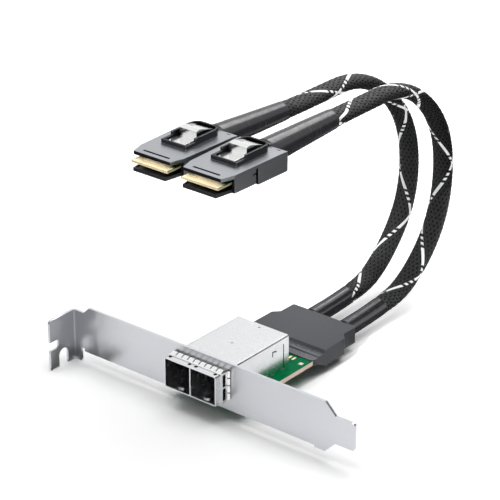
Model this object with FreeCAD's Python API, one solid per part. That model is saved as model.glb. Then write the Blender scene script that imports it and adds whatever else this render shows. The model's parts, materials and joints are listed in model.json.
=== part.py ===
import FreeCAD, Part
import os
from math import cos, degrees, pi, sin, tan

V = FreeCAD.Vector
X_AXIS = V(1, 0, 0)
Y_AXIS = V(0, 1, 0)
Z_AXIS = V(0, 0, 1)

# How far a cutting shape runs past the face that it cuts
PAST = 1.0

# Cosine from which two directions count as parallel
PARALLEL = 0.999

# Slot bracket: one steel sheet, stamped and folded. x = 0 is the middle of its length, y = 0 the front face
# of its plate and z = 0 the lower edge of its flange, which is the surface that the adapter stands on.
SHEET = 0.86
BRACKET_LENGTH = 120.02
PLATE_WIDTH = 17.18
BEND_RADIUS = 0.6
FLANGE_REACH = 11.96
FLANGE_WIDTH = 18.8
FLANGE_DROP = 4.15
FLANGE_CORNER = 1.0
NOTCH_WIDTH = 4.42
NOTCH_DEPTH = 6.3
NOTCH_CENTRE = 5.7
SLIT_WIDTH = 3.2
SLIT_DEPTH = 3.9
SLIT_LOW = 7.45
NECK_LENGTH = 2.85
NECK_CHAMFER = 0.6
RELIEF_LENGTH = 1.55
RELIEF_DEPTH = 1.05
SHOULDER_START = 4.4
EAR_LENGTH = 8.2
EAR_DROP = 0.7
TONGUE_LENGTH = 7.46
TONGUE_WIDTH = 9.8
TONGUE_LIFT = 3.35
TONGUE_CORNER = 1.0

# Port cage: thin folded sheet with two square ports side by side
PORT_X = -1.6
CAGE_SHEET = 0.35
CAGE_WIDTH = 21.77
CAGE_FRONT = 6.65
CAGE_REAR = 31.24
CAGE_HEIGHT = 11.49
CAGE_BEND = 0.6
PORT_LIFT = 0.74
DIVIDER = 0.45
WINDOW_GAP = 0.15
FLOOR_GAP = 0.65
DIMPLE_LENGTH = 2.4
DIMPLE_WIDTH = 1.7
DIMPLE_HEIGHT = 0.45
DIMPLE_SETBACK = 2.3
DENT_RADIUS = 0.45
DENT_DEPTH = 0.12
DENT_SETBACKS = (2.2, 16.4)
ROUND_SHARE = 0.45
RIM_HOLE_RADIUS = 0.65
RIM_HOLE_SETBACK = 1.55
RIM_HOLE_INSET = 1.35
SIDE_WINDOW_FRONT = 3.3
SIDE_WINDOW_REAR = 1.2
SIDE_WINDOW_MARGIN = 0.7
SIDE_WINDOW_SILL = 0.2
SIDE_WINDOW_BAR = 0.5
SLIT_IN_CAGE = 0.45
SLIT_IN_CAGE_SETBACK = 2.75
SLIT_IN_CAGE_TOP = 2.3
LANCE_LENGTH = 2.3
LANCE_HEIGHT = 2.1
LANCE_FALL = 0.5
LANCE_CUT = 0.5
LANCE_SETBACK = 8.8
LANCE_DROP = 2.8
PIN_WIDTH = 0.9
PIN_LENGTH = 2.5
PIN_SETBACKS = (3.3, 9.2, 24.0)
PIN_GAP = 0.3
FOOT_GAP = 0.2
FOOT_LENGTH = 1.2
FOOT_SETBACKS = (0.6, 14.0, 28.0)

# Spring collar: finger strip round the cage in front of the plate
COLLAR_SHEET = 0.15
COLLAR_GAP = 0.03
COLLAR_FRONT = 4.4
COLLAR_BAND = 0.7
COLLAR_CLEARANCE = 0.12
TOP_FINGERS = 9
SIDE_FINGERS = 4
SIDE_STRIP = 0.3
FINGER_SPACE = 0.4
FINGER_RISE = 0.75
SIDE_FINGER_RISE = 0.7
FINGER_BOW = ((0, 0), (0.35, 0.6), (0.6, 1), (0.8, 0.95), (1, 0.35))

# Receptacles at the back of the ports
RECEPTACLE_FRONT = 14.0
RECEPTACLE_GAP = 0.1
RECEPTACLE_BACK_GAP = 0.4
RECEPTACLE_TOP_GAP = 0.5
CARD_SLOT_HEIGHT = 1.9
CARD_SLOT_WIDTH = 7.6
CARD_SLOT_DEPTH = 7.0
CARD_SLOT_LOWS = (2.6, 6.3)
CONTACT_COLUMNS = 9
CONTACT_PITCH = 0.75
CONTACT_WIDTH = 0.38
CONTACT_HEIGHT = 0.3
CONTACT_LENGTH = 5.5

# Circuit board
BOARD_TOP = 7.53
BOARD_THICKNESS = 1.6
BOARD_WIDTH = 31.0
BOARD_GAP = 0.64
BOARD_GRIP = 13.98
PAD_GAP = 1.0
PAD_LENGTH = 1.9
PAD_WIDTH = 0.8
PAD_PITCH = 1.7
PAD_COUNT = 12
PAD_THICKNESS = 0.06
TEST_PAD_GAP = 2.95
TEST_PAD_SIZE = 1.5
TEST_PAD_SETBACK = 2.6

# Overmould behind the board
MOULD_COVER = 1.82
MOULD_HEIGHT = 6.0
MOULD_SIDE_COVER = 0.45
MOULD_REAR_COVER = 3.7
MOULD_TAPER = 2.25
MOULD_TAIL = 9.5
MOULD_CORNER = 0.8
NOSE_CORNER = 1.6
NOSE_GAP = 6.78
NOSE_LENGTH = 6.8
NOSE_LIP = 0.43
NOSE_LIP_LENGTH = 2.88
NOSE_RISE = 0.35
NOSE_RISE_LENGTH = 0.42
NOSE_LEDGE = 1.78
NOSE_SLOPE = 0.07
NOSE_UNDER = 0.3

# Cables with their shrink sleeves
CABLE_DIAMETER = 6.1
CABLE_SIDES = 16
SLEEVE_SIDES = 24
EXIT_DROP = 2.8
LEFT_EXIT_X = -7.35
RIGHT_EXIT_X = 6.75
SLEEVE_GAP = 0.06
SLEEVE_WALL = 0.3
LOWER_SLEEVE_LENGTH = 21.0
UPPER_SLEEVE_LENGTH = 35.0
UPPER_SLEEVE_BASE = 8.4
ARC_SHARE = 0.45

# Plugs at the far ends of the cables
LEFT_PLUG_X = -12.05
RIGHT_PLUG_X = 8.35
PLUG_REAR = 18.9
PLUG_TOP = 91.65
PLUG_WIDTH = 19.2
PLUG_FRONT_WIDTH = 17.9
PLUG_HEIGHT = 6.2
PLUG_LENGTH = 31.5
PLUG_NOSE_WIDTH = 15.1
PLUG_NOSE_LENGTH = 5.0
JAW_SETBACK = 1.4
PLUG_SEAM = 14.1
PLUG_SEAM_GAP = 0.9
PLUG_SIDE_STEP = 0.15
PLUG_TOP_WALL = 1.2
PLUG_SIDE_WALL = 1.1
PLUG_FLOOR_WALL = 0.8
PLUG_REAR_WALL = 1.2
REAR_SHELL_DROP = 0.6
SEAM_NOTCH_LENGTH = 1.4
SEAM_NOTCH_HEIGHT = 0.7
SEAM_NOTCH_DROP = 2.85
JAW_SLOT_LENGTH = 10.8
JAW_SLOT_WIDTH = 0.9
JAW_SLOT_SETBACK = 1.75
GUIDE_WIDTH = 13.3
GUIDE_RIM = 0.5
GUIDE_RIM_HEIGHT = 0.4
CARD_SIDE_GAP = 0.15
CARD_THICKNESS = 0.7
CARD_DROP = 2.75
CARD_SETBACK = 0.2
CARD_LENGTH = 19.1
STRIP_COUNT = 18
STRIP_PITCH = 0.8
STRIP_WIDTH = 0.56
STRIP_LENGTH = 3.6
STRIP_THICKNESS = 0.06
STRIP_SETBACK = 0.25
INNER_GAP = 0.15
REAR_BEVEL_LENGTH = 1.9
REAR_BEVEL_DROP = 0.2
REAR_SLOT_X = 6.9
REAR_SLOT_LENGTH = 1.6
REAR_SLOT_WIDTH = 0.5
REAR_SLOT_DEPTH = 0.6
REAR_SLOT_SETBACK = 1.0

# Latch guard and latch leaf on the plug's top
GUARD_WIDTH = 10.3
GUARD_FRONT = 19.8
GUARD_REAR = 2.6
GUARD_WALL = 0.7
GUARD_LOW = 1.3
GUARD_HIGH = 2.4
GUARD_STEP = 15.2
GUARD_CORNER = 2.6
LEAF_SHEET = 0.35
LEAF_SIDE_GAP = 0.95
LEAF_PLATE_INSET = 0.5
PLATE_TOP = 0.7
PAD_FRONT = 12.8
PAD_SHOULDER = 3.5
PAD_TOP = 3.95
PAD_BEVEL = 1.4
PAD_CREST = 1.5
PAD_FALL = 0.35
TAIL_STEP = 0.7
TAIL_DROP = 0.8
TAIL_TOP = 2.0
TAIL_END = 5.1
CHEEK_END_TOP = 2.2
CHEEK_END_LOW = 1.0
LEAF_ROOT_DEPTH = 2.6
LEAF_ROOT_GAP = 0.2
SEAT_FRONT_WALL = 1.5
SEAT_REAR_WALL = 0.6

# Routes of the two cables between the overmould and the plugs, in the bracket's x, y and z
LEFT_BEND_POINTS = (
    (-7.35, 92.1, 6.55),
    (-7.9, 106.3, 12.75),
    (-8.6, 119.6, 26.05),
    (-9.3, 125.0, 39.55),
    (-10.0, 124.9, 54.45),
    (-10.7, 119.3, 67.95),
    (-11.4, 106.3, 80.95),
    (-12.05, 92.2, 86.7),
    (-12.05, 55.4, 86.5),
)
RIGHT_BEND_POINTS = (
    (6.75, 91.2, 6.55),
    (6.9, 104.2, 12.05),
    (7.1, 115.7, 23.55),
    (7.35, 121.5, 37.55),
    (7.6, 121.5, 55.85),
    (7.85, 115.5, 70.35),
    (8.1, 103.0, 82.85),
    (8.35, 88.3, 88.95),
    (8.35, 52.9, 89.15),
)

# Places that follow from the sizes
SEAT_X = SHEET - BRACKET_LENGTH / 2
CAGE_LEFT = PORT_X - CAGE_WIDTH / 2
CAGE_RIGHT = PORT_X + CAGE_WIDTH / 2
CAGE_TOP = BOARD_TOP + CAGE_HEIGHT
PORT_LOW = BOARD_TOP + PORT_LIFT
BOARD_LOW = BOARD_TOP - BOARD_THICKNESS
BOARD_FRONT = SHEET + BOARD_GAP
MOULD_NOSE = CAGE_REAR + NOSE_GAP
MOULD_TOP_FRONT = MOULD_NOSE + NOSE_LENGTH
BOARD_REAR = MOULD_NOSE + BOARD_GRIP
MOULD_SIDE_END = BOARD_REAR + MOULD_REAR_COVER
MOULD_REAR = MOULD_SIDE_END + MOULD_TAIL
MOULD_TOP = BOARD_TOP + MOULD_COVER
MOULD_LOW = MOULD_TOP - MOULD_HEIGHT
EXIT_Z = MOULD_TOP - EXIT_DROP
NOSE_START = JAW_SETBACK + PLUG_NOSE_LENGTH - PLUG_LENGTH
CARD_WIDTH = PLUG_FRONT_WIDTH - 2 * (PLUG_SIDE_STEP + PLUG_SIDE_WALL + CARD_SIDE_GAP)
LEAF_WIDTH = GUARD_WIDTH - 2 * (GUARD_WALL + LEAF_SIDE_GAP)

# The part's own origin is under the middle of the bracket and the overmould
FRAME_SHIFT = V(0, (FLANGE_REACH - MOULD_REAR) / 2, 0)


def save(name, shape):
    """Moves a piece to the part's origin and writes it."""
    placed = shape.copy()
    placed.translate(FRAME_SHIFT)
    placed.exportStep("parts/" + name + ".step")


def box(low, high):
    """Block between two opposite corners."""
    size = V(*high) - V(*low)
    return Part.makeBox(size.x, size.y, size.z, V(*low))


def prism(points, along):
    """Straight prism on a closed polygon of 3-D points."""
    corners = [V(*point) for point in points]
    return Part.Face(Part.makePolygon(corners + corners[:1])).extrude(along)


def fillet(shape, radius, wanted):
    """Rounds the edges of a shape that the test picks."""
    return shape.makeFillet(radius, [edge for edge in shape.Edges if wanted(edge)])


def is_along(edge, axis):
    """Whether an edge is straight and parallel to an axis."""
    if not isinstance(edge.Curve, Part.Line):
        return False
    return abs(edge.Curve.Direction.dot(axis)) > PARALLEL


def rounded_block(low, high, radius, axis):
    """Block with the four edges along one axis rounded."""
    return fillet(box(low, high), radius, lambda edge: is_along(edge, axis))


def both_sides(shape, middle_x):
    """A shape and its mirror image across a plane at x."""
    return shape.fuse(shape.mirror(V(middle_x, 0, 0), X_AXIS))


def bracket_plate():
    """Flat plate with its neck, relief notch, ear and tongue."""
    end = BRACKET_LENGTH - SHEET
    low = FLANGE_DROP
    top = low + PLATE_WIDTH
    tongue_low = low + TONGUE_LIFT
    tongue_top = tongue_low + TONGUE_WIDTH
    tongue_start = end - TONGUE_LENGTH
    ear_low = low - EAR_DROP
    ear_start = tongue_start - EAR_LENGTH
    relief_end = NECK_LENGTH + RELIEF_LENGTH
    outline = [
        (BEND_RADIUS, 0),
        (NECK_LENGTH - NECK_CHAMFER, 0),
        (NECK_LENGTH, NECK_CHAMFER),
        (NECK_LENGTH, low + RELIEF_DEPTH),
        (relief_end, low + RELIEF_DEPTH),
        (relief_end, low),
        (ear_start, low),
        (ear_start, ear_low),
        (tongue_start - (tongue_low - ear_low), ear_low),
        (tongue_start, tongue_low),
        (end, tongue_low),
        (end, tongue_top),
        (tongue_start, tongue_top),
        (tongue_start - (top - tongue_top), top),
        (SHOULDER_START + top - FLANGE_WIDTH, top),
        (SHOULDER_START, FLANGE_WIDTH),
        (BEND_RADIUS, FLANGE_WIDTH),
    ]
    plate = prism([(SEAT_X + x, 0, z) for x, z in outline], Y_AXIS * SHEET)
    tip = SEAT_X + end
    return fillet(plate, TONGUE_CORNER,
                  lambda edge: is_along(edge, Y_AXIS) and abs(edge.CenterOfMass.x - tip) < SHEET / 10)


def bracket_flange():
    """Flange with the open screw notch in its lower edge and the slit in its outer edge."""
    low = (SEAT_X - SHEET, -FLANGE_REACH, 0)
    flange = box(low, (SEAT_X, -BEND_RADIUS, FLANGE_WIDTH))
    outer_edges = fillet(flange, FLANGE_CORNER,
                         lambda edge: is_along(edge, X_AXIS) and edge.CenterOfMass.y < -FLANGE_REACH / 2)
    radius = NOTCH_WIDTH / 2
    start = SEAT_X - 2 * SHEET
    through = 3 * SHEET
    notch_end = NOTCH_DEPTH - radius
    notch = box((start, -NOTCH_CENTRE - radius, -PAST), (start + through, -NOTCH_CENTRE + radius, notch_end))
    notch = notch.fuse(Part.makeCylinder(radius, through, V(start, -NOTCH_CENTRE, notch_end), X_AXIS))
    slit = box((start, -FLANGE_REACH - PAST, SLIT_LOW),
               (start + through, SLIT_DEPTH - FLANGE_REACH, SLIT_LOW + SLIT_WIDTH))
    return outer_edges.cut(notch).cut(slit)


def bracket_bend():
    """Quarter bend between the flange and the plate."""
    centre = V(SEAT_X + BEND_RADIUS, -BEND_RADIUS, 0)
    outer = Part.makeCylinder(BEND_RADIUS + SHEET, FLANGE_WIDTH, centre, Z_AXIS, 90)
    inner = Part.makeCylinder(BEND_RADIUS, FLANGE_WIDTH, centre, Z_AXIS, 90)
    bend = outer.cut(inner)
    bend.rotate(centre, Z_AXIS, 90)
    return bend


def slot_bracket():
    """Whole bracket with the window that the port cage passes through."""
    window = box((CAGE_LEFT - WINDOW_GAP, -SHEET, PORT_LOW - WINDOW_GAP),
                 (CAGE_RIGHT + WINDOW_GAP, 2 * SHEET, CAGE_TOP + WINDOW_GAP))
    return bracket_plate().fuse([bracket_bend(), bracket_flange()]).removeSplitter().cut(window)


def cage_shell():
    """Top, sides and back of the cage, with its holes, side windows and board pins."""
    sheet = CAGE_SHEET
    outer = bent_cover((CAGE_LEFT, -CAGE_FRONT, BOARD_TOP), (CAGE_RIGHT, CAGE_REAR, CAGE_TOP), CAGE_BEND)
    inner = bent_cover((CAGE_LEFT + sheet, -CAGE_FRONT - PAST, BOARD_TOP - PAST),
                       (CAGE_RIGHT - sheet, CAGE_REAR - sheet, CAGE_TOP - sheet), CAGE_BEND - sheet)
    front_step = box((CAGE_LEFT - PAST, -CAGE_FRONT - PAST, BOARD_TOP - PAST),
                     (CAGE_RIGHT + PAST, BOARD_FRONT, PORT_LOW))
    foot_gap = box((CAGE_LEFT - PAST, BOARD_FRONT, BOARD_TOP - PAST),
                   (CAGE_RIGHT + PAST, CAGE_REAR + PAST, BOARD_TOP + FOOT_GAP))
    shell = outer.cut(inner).cut(front_step).cut(foot_gap)
    cuts = rim_holes() + top_dents() + [rear_slit(), lance()]
    feet = [board_pin(setback, 0) for setback in PIN_SETBACKS]
    feet += [cage_foot(setback) for setback in FOOT_SETBACKS]
    half = shell.cut(cuts).fuse(feet).common(box((PORT_X, -CAGE_FRONT - PAST, 0),
                                                 (CAGE_RIGHT + PAST, CAGE_REAR + PAST, CAGE_TOP + PAST)))
    return both_sides(half, PORT_X).removeSplitter().cut(side_windows())


def bent_cover(low, high, radius):
    """Block whose two upper edges along y are rounded, as a folded sheet's are."""
    return fillet(box(low, high), radius,
                  lambda edge: is_along(edge, Y_AXIS) and edge.CenterOfMass.z > (low[2] + high[2]) / 2)


def top_dents():
    """Small round dents on the middle line of the top."""
    places = [V(PORT_X, CAGE_REAR - setback, CAGE_TOP - DENT_DEPTH) for setback in DENT_SETBACKS]
    return [Part.makeCylinder(DENT_RADIUS, PAST, place) for place in places]


def rim_holes():
    """Two small holes in the top near the front edge of the right-hand port."""
    y = -CAGE_FRONT + RIM_HOLE_SETBACK
    places = (PORT_X + RIM_HOLE_INSET, CAGE_RIGHT - RIM_HOLE_INSET)
    return [Part.makeCylinder(RIM_HOLE_RADIUS, 2 * PAST, V(x, y, CAGE_TOP - PAST)) for x in places]


def side_windows():
    """Two windows, one above the other, in the right side in front of the plate."""
    low = PORT_LOW + CAGE_SHEET + SIDE_WINDOW_SILL
    high = CAGE_TOP - SIDE_WINDOW_MARGIN
    middle = (low + high) / 2
    spans = ((low, middle - SIDE_WINDOW_BAR / 2), (middle + SIDE_WINDOW_BAR / 2, high))
    return [box((CAGE_RIGHT - PAST, -SIDE_WINDOW_FRONT, z0), (CAGE_RIGHT + PAST, -SIDE_WINDOW_REAR, z1))
            for z0, z1 in spans]


def rear_slit():
    """Upright slit in the right side, where the back wall's tab is folded in."""
    y = CAGE_REAR - SLIT_IN_CAGE_SETBACK
    return box((CAGE_RIGHT - CAGE_SHEET * 1.5, y - SLIT_IN_CAGE / 2, BOARD_TOP - PAST),
               (CAGE_RIGHT + PAST, y + SLIT_IN_CAGE / 2, CAGE_TOP - SLIT_IN_CAGE_TOP))


def lance():
    """Angled cut round the top and the front of a locking lance in the right side."""
    front = CAGE_REAR - LANCE_SETBACK
    rear = front + LANCE_LENGTH
    top = CAGE_TOP - LANCE_DROP
    low = top - LANCE_HEIGHT
    cut = LANCE_CUT
    rear_top = top - LANCE_FALL
    outline = [(front, top), (rear, rear_top), (rear, rear_top - cut), (front + cut, top - cut),
               (front + cut, low), (front, low)]
    return prism([(CAGE_RIGHT - PAST, y, z) for y, z in outline], X_AXIS * 2 * PAST)


def board_pin(setback, gap):
    """Pin at the foot of the right side, or with a gap, the slot that it needs in the board."""
    y = CAGE_REAR - setback
    low = BOARD_TOP - PIN_LENGTH - gap
    return box((CAGE_RIGHT - CAGE_SHEET - gap, y - PIN_WIDTH / 2 - gap, low),
               (CAGE_RIGHT + gap, y + PIN_WIDTH / 2 + gap, BOARD_TOP + FOOT_GAP))


def cage_foot(setback):
    """Short foot under the right side that stands on the board."""
    y = CAGE_REAR - setback
    return box((CAGE_RIGHT - CAGE_SHEET, y - FOOT_LENGTH / 2, BOARD_TOP),
               (CAGE_RIGHT, y + FOOT_LENGTH / 2, BOARD_TOP + FOOT_GAP))


def cage_floor():
    """Floor of the two ports, with one oval spring dimple in each."""
    left = CAGE_LEFT + CAGE_SHEET
    right = CAGE_RIGHT - CAGE_SHEET
    top = PORT_LOW + CAGE_SHEET
    floor = box((left, -CAGE_FRONT, PORT_LOW), (right, RECEPTACLE_FRONT - FLOOR_GAP, top))
    y = DIMPLE_SETBACK - CAGE_FRONT
    dimples = []
    for x in (PORT_X - CAGE_WIDTH / 4, PORT_X + CAGE_WIDTH / 4):
        dimples.append(rounded_block((x - DIMPLE_LENGTH / 2, y - DIMPLE_WIDTH / 2, PORT_LOW),
                                     (x + DIMPLE_LENGTH / 2, y + DIMPLE_WIDTH / 2, top + DIMPLE_HEIGHT),
                                     DIMPLE_WIDTH * ROUND_SHARE, Z_AXIS))
    return floor.fuse(dimples)


def port_divider():
    """Wall between the two ports."""
    return box((PORT_X - DIVIDER / 2, -CAGE_FRONT, PORT_LOW + CAGE_SHEET),
               (PORT_X + DIVIDER / 2, CAGE_REAR - CAGE_SHEET, CAGE_TOP - CAGE_SHEET))


def spring_finger(length, width, rise):
    """Bowed finger that starts at the origin and runs along +y, with +z outwards."""
    inner = [(-width / 2, length * along, rise * up) for along, up in FINGER_BOW]
    outer = [(x, y, z + COLLAR_SHEET) for x, y, z in reversed(inner)]
    return prism(inner + outer, X_AXIS * width)


def finger_row(middle, span, count, rise, turn):
    """Row of fingers across a side of the collar whose outward direction is turned about y."""
    pitch = span / count
    width = pitch - FINGER_SPACE
    row = []
    for index in range(count):
        finger = spring_finger(-COLLAR_CLEARANCE - middle.y, width, rise)
        finger.translate(V((index - (count - 1) / 2) * pitch, 0, 0))
        finger.rotate(V(0, 0, 0), Y_AXIS, turn)
        finger.translate(middle)
        row.append(finger)
    return row


def spring_collar():
    """Band round the cage with spring fingers that press on the plate's window."""
    left = CAGE_LEFT - COLLAR_GAP
    right = CAGE_RIGHT + COLLAR_GAP
    low = PORT_LOW - COLLAR_GAP
    top = CAGE_TOP + COLLAR_GAP
    sheet = COLLAR_SHEET
    finger_start = COLLAR_BAND - COLLAR_FRONT
    side_start = SIDE_STRIP - SIDE_WINDOW_REAR
    outer = box((left - sheet, -COLLAR_FRONT, low - sheet), (right + sheet, side_start, top + sheet))
    inner = box((left, -COLLAR_FRONT - PAST, low), (right, side_start + PAST, top))
    band = outer.cut(inner)
    band = band.cut(box((left, finger_start, low - PAST), (right, side_start + PAST, top + PAST)))
    band = band.cut(side_windows())
    middle_z = (low + top) / 2
    rows = finger_row(V(PORT_X, finger_start, top), right - left, TOP_FINGERS, FINGER_RISE, 0)
    rows += finger_row(V(PORT_X, finger_start, low), right - left, TOP_FINGERS, FINGER_RISE, 180)
    rows += finger_row(V(right, side_start, middle_z), top - low, SIDE_FINGERS, SIDE_FINGER_RISE, 90)
    rows += finger_row(V(left, side_start, middle_z), top - low, SIDE_FINGERS, SIDE_FINGER_RISE, -90)
    return band.fuse(rows).removeSplitter()


def receptacle_span(side):
    """Left and right faces of the receptacle on one side of the divider."""
    near = DIVIDER / 2 + RECEPTACLE_GAP
    far = CAGE_WIDTH / 2 - CAGE_SHEET - RECEPTACLE_GAP
    return sorted((PORT_X + side * near, PORT_X + side * far))


def receptacle(side):
    """Moulded receptacle with two card slots, standing on the board."""
    left, right = receptacle_span(side)
    rear = CAGE_REAR - CAGE_SHEET - RECEPTACLE_BACK_GAP
    top = CAGE_TOP - CAGE_SHEET - RECEPTACLE_TOP_GAP
    body = box((left, RECEPTACLE_FRONT, BOARD_TOP), (right, rear, top))
    middle = (left + right) / 2
    slot_rear = RECEPTACLE_FRONT + CARD_SLOT_DEPTH
    slots = []
    for lift in CARD_SLOT_LOWS:
        low = BOARD_TOP + lift
        slots.append(box((middle - CARD_SLOT_WIDTH / 2, RECEPTACLE_FRONT - PAST, low),
                         (middle + CARD_SLOT_WIDTH / 2, slot_rear, low + CARD_SLOT_HEIGHT)))
    return body.cut(slots)


def receptacle_contacts(side):
    """Rows of contacts on the floors and ceilings of the card slots."""
    left, right = receptacle_span(side)
    middle = (left + right) / 2
    rear = RECEPTACLE_FRONT + CARD_SLOT_DEPTH
    bars = []
    for lift in CARD_SLOT_LOWS:
        floor = BOARD_TOP + lift
        for low in (floor, floor + CARD_SLOT_HEIGHT - CONTACT_HEIGHT):
            for column in range(CONTACT_COLUMNS):
                x = middle + (column - (CONTACT_COLUMNS - 1) / 2) * CONTACT_PITCH
                bars.append(box((x - CONTACT_WIDTH / 2, rear - CONTACT_LENGTH, low),
                                (x + CONTACT_WIDTH / 2, rear, low + CONTACT_HEIGHT)))
    return Part.makeCompound(bars)


def circuit_board():
    """Board under the cage, with slots for the cage's pins."""
    half = BOARD_WIDTH / 2
    board = box((PORT_X - half, BOARD_FRONT, BOARD_LOW), (PORT_X + half, BOARD_REAR, BOARD_TOP))
    slots = Part.makeCompound([board_pin(setback, PIN_GAP) for setback in PIN_SETBACKS])
    return board.cut(slots).cut(slots.mirror(V(PORT_X, 0, 0), X_AXIS))


def board_pads():
    """Row of wire pads behind the cage and one test pad beside it."""
    rear = MOULD_NOSE - PAD_GAP
    top = BOARD_TOP + PAD_THICKNESS
    pads = []
    for index in range(PAD_COUNT):
        x = PORT_X + (index - (PAD_COUNT - 1) / 2) * PAD_PITCH
        pads.append(box((x - PAD_WIDTH / 2, rear - PAD_LENGTH, BOARD_TOP), (x + PAD_WIDTH / 2, rear, top)))
    x += PAD_WIDTH / 2 + TEST_PAD_GAP
    rear = MOULD_NOSE - TEST_PAD_SETBACK
    pads.append(box((x, rear - TEST_PAD_SIZE, BOARD_TOP), (x + TEST_PAD_SIZE, rear, top)))
    return Part.makeCompound(pads)


def overmould():
    """Grey block moulded round the rear of the board, stepped at its nose and narrowed at its rear."""
    lip_top = BOARD_TOP + NOSE_LIP
    lip_end = MOULD_NOSE + NOSE_LIP_LENGTH
    ledge_top = lip_top + NOSE_SLOPE + NOSE_RISE
    ledge_start = lip_end + NOSE_RISE_LENGTH
    under_lip = BOARD_LOW - NOSE_UNDER
    profile = [
        (MOULD_NOSE, under_lip),
        (MOULD_NOSE, lip_top),
        (lip_end, lip_top + NOSE_SLOPE),
        (ledge_start, ledge_top),
        (ledge_start + NOSE_LEDGE, ledge_top + NOSE_SLOPE),
        (MOULD_TOP_FRONT, MOULD_TOP),
        (MOULD_REAR, MOULD_TOP),
        (MOULD_REAR, MOULD_LOW),
        (MOULD_TOP_FRONT, MOULD_LOW),
        (lip_end, under_lip),
    ]
    half = BOARD_WIDTH / 2 + MOULD_SIDE_COVER
    rear_half = half - MOULD_TAPER
    body = prism([(PORT_X - half, y, z) for y, z in profile], X_AXIS * 2 * half)
    chamfer_end = MOULD_SIDE_END + MOULD_TAPER
    plan = [
        (-half, MOULD_NOSE),
        (half, MOULD_NOSE),
        (half, MOULD_SIDE_END),
        (rear_half, chamfer_end),
        (rear_half, MOULD_REAR),
        (-rear_half, MOULD_REAR),
        (-rear_half, chamfer_end),
        (-half, MOULD_SIDE_END),
    ]
    outline = prism([(PORT_X + x, y, MOULD_LOW) for x, y in plan], Z_AXIS * MOULD_HEIGHT)
    outline = fillet(outline, MOULD_CORNER,
                     lambda edge: is_along(edge, Z_AXIS) and edge.CenterOfMass.y > MOULD_TOP_FRONT)
    outline = fillet(outline, NOSE_CORNER,
                     lambda edge: is_along(edge, Z_AXIS) and edge.CenterOfMass.y < MOULD_TOP_FRONT)
    return body.common(outline).cut(circuit_board())


def many_sided(radius, sides, z):
    """Outline of a regular polygon across z, with its corners on a circle."""
    angles = [2 * pi * index / sides for index in range(sides)]
    corners = [V(radius * cos(angle), radius * sin(angle), z) for angle in angles]
    return Part.makePolygon(corners + corners[:1])


def placed_along(shape, start, towards):
    """A shape with its origin moved to a point and its z axis turned towards another."""
    turn = FreeCAD.Rotation(Z_AXIS, towards - start)
    return shape.transformed(FreeCAD.Placement(start, turn).toMatrix())


def cable(name, points):
    """Cable of straight runs and the largest tangent arcs that the runs allow, with a printed test."""
    corners = [V(*point) for point in points]
    section = placed_along(Part.Face(many_sided(CABLE_DIAMETER / 2, CABLE_SIDES, 0)), corners[0], corners[1])
    pieces = []
    radii = []
    length = 0
    start = corners[0]
    for before, corner, after in zip(corners, corners[1:], corners[2:]):
        arriving = corner - before
        leaving = after - corner
        setback = ARC_SHARE * min(arriving.Length, leaving.Length)
        turn = arriving.getAngle(leaving)
        radius = setback / tan(turn / 2)
        axis = arriving.cross(leaving).normalize()
        arc_start = corner - arriving.normalize() * setback
        centre = arc_start + axis.cross(arriving) * radius
        run = arc_start - start
        pieces.append(section.extrude(run))
        section.translate(run)
        pieces.append(section.revolve(centre, axis, degrees(turn)))
        section.rotate(centre, axis, degrees(turn))
        length += run.Length + radius * turn
        radii.append(radius)
        start = corner + leaving.normalize() * setback
    last = corners[-1] - start
    pieces.append(section.extrude(last))
    length += last.Length
    tube = pieces[0].fuse(pieces[1:])
    print(name, "length", round(length, 1), "radii", [round(value, 1) for value in radii])
    print(name, "volume against section times length", round(tube.Volume / (section.Area * length), 4))
    return tube


def sleeve(start, towards, length, base_diameter):
    """Tapered shrink sleeve on a straight stretch of cable, from its base to its thin end."""
    bore = CABLE_DIAMETER / 2 + SLEEVE_GAP
    overrun = CABLE_DIAMETER / 4
    base = many_sided(base_diameter / 2, SLEEVE_SIDES, -overrun)
    tip = many_sided(bore + SLEEVE_WALL, SLEEVE_SIDES, length)
    skin = Part.makeLoft([base, tip], True, True)
    tube = skin.cut(Part.makeCylinder(bore, length + 2 * overrun, V(0, 0, -overrun)))
    return placed_along(tube, V(*start), V(*towards))


def behind(shape, y):
    """The stretch of a shape that lies behind an upright plane across y."""
    bounds = shape.BoundBox
    return shape.common(box((bounds.XMin - PAST, y, bounds.ZMin - PAST),
                            (bounds.XMax + PAST, bounds.YMax + PAST, bounds.ZMax + PAST)))


def cable_set(side, exit_x, bends, plug_x):
    """One cable with its two sleeves, from the overmould to its plug."""
    exit_point = (exit_x, MOULD_REAR, EXIT_Z)
    plug_point = (plug_x, PLUG_REAR, PLUG_TOP - PLUG_HEIGHT / 2)
    tube = cable(side + "_cable", (exit_point,) + bends + (plug_point,))
    lower_base = CABLE_DIAMETER + 2 * (SLEEVE_GAP + SLEEVE_WALL)
    lower = sleeve(exit_point, bends[0], LOWER_SLEEVE_LENGTH, lower_base)
    upper = sleeve(plug_point, bends[-1], UPPER_SLEEVE_LENGTH, UPPER_SLEEVE_BASE)
    save(side + "_cable", behind(tube, PLUG_REAR))
    save(side + "_lower_sleeve", behind(lower, MOULD_REAR))
    save(side + "_upper_sleeve", behind(upper, PLUG_REAR))


def plug_half(y):
    """Half of the plug's width at a place along it, as it narrows from its rear to its nose."""
    return PLUG_WIDTH / 2 - (PLUG_WIDTH - PLUG_FRONT_WIDTH) / 2 * y / NOSE_START


def plug_slab(inset, front, rear, nose_width, low, height):
    """Flat slab set in from the plug's sides, with a straight rear and a chamfered nose."""
    rear_half = plug_half(rear) - inset
    front_half = plug_half(NOSE_START) - inset
    nose = nose_width / 2
    plan = [(-rear_half, rear), (-front_half, NOSE_START), (-nose, front), (nose, front),
            (front_half, NOSE_START), (rear_half, rear)]
    return prism([(x, y, low) for x, y in plan], Z_AXIS * height)


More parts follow.
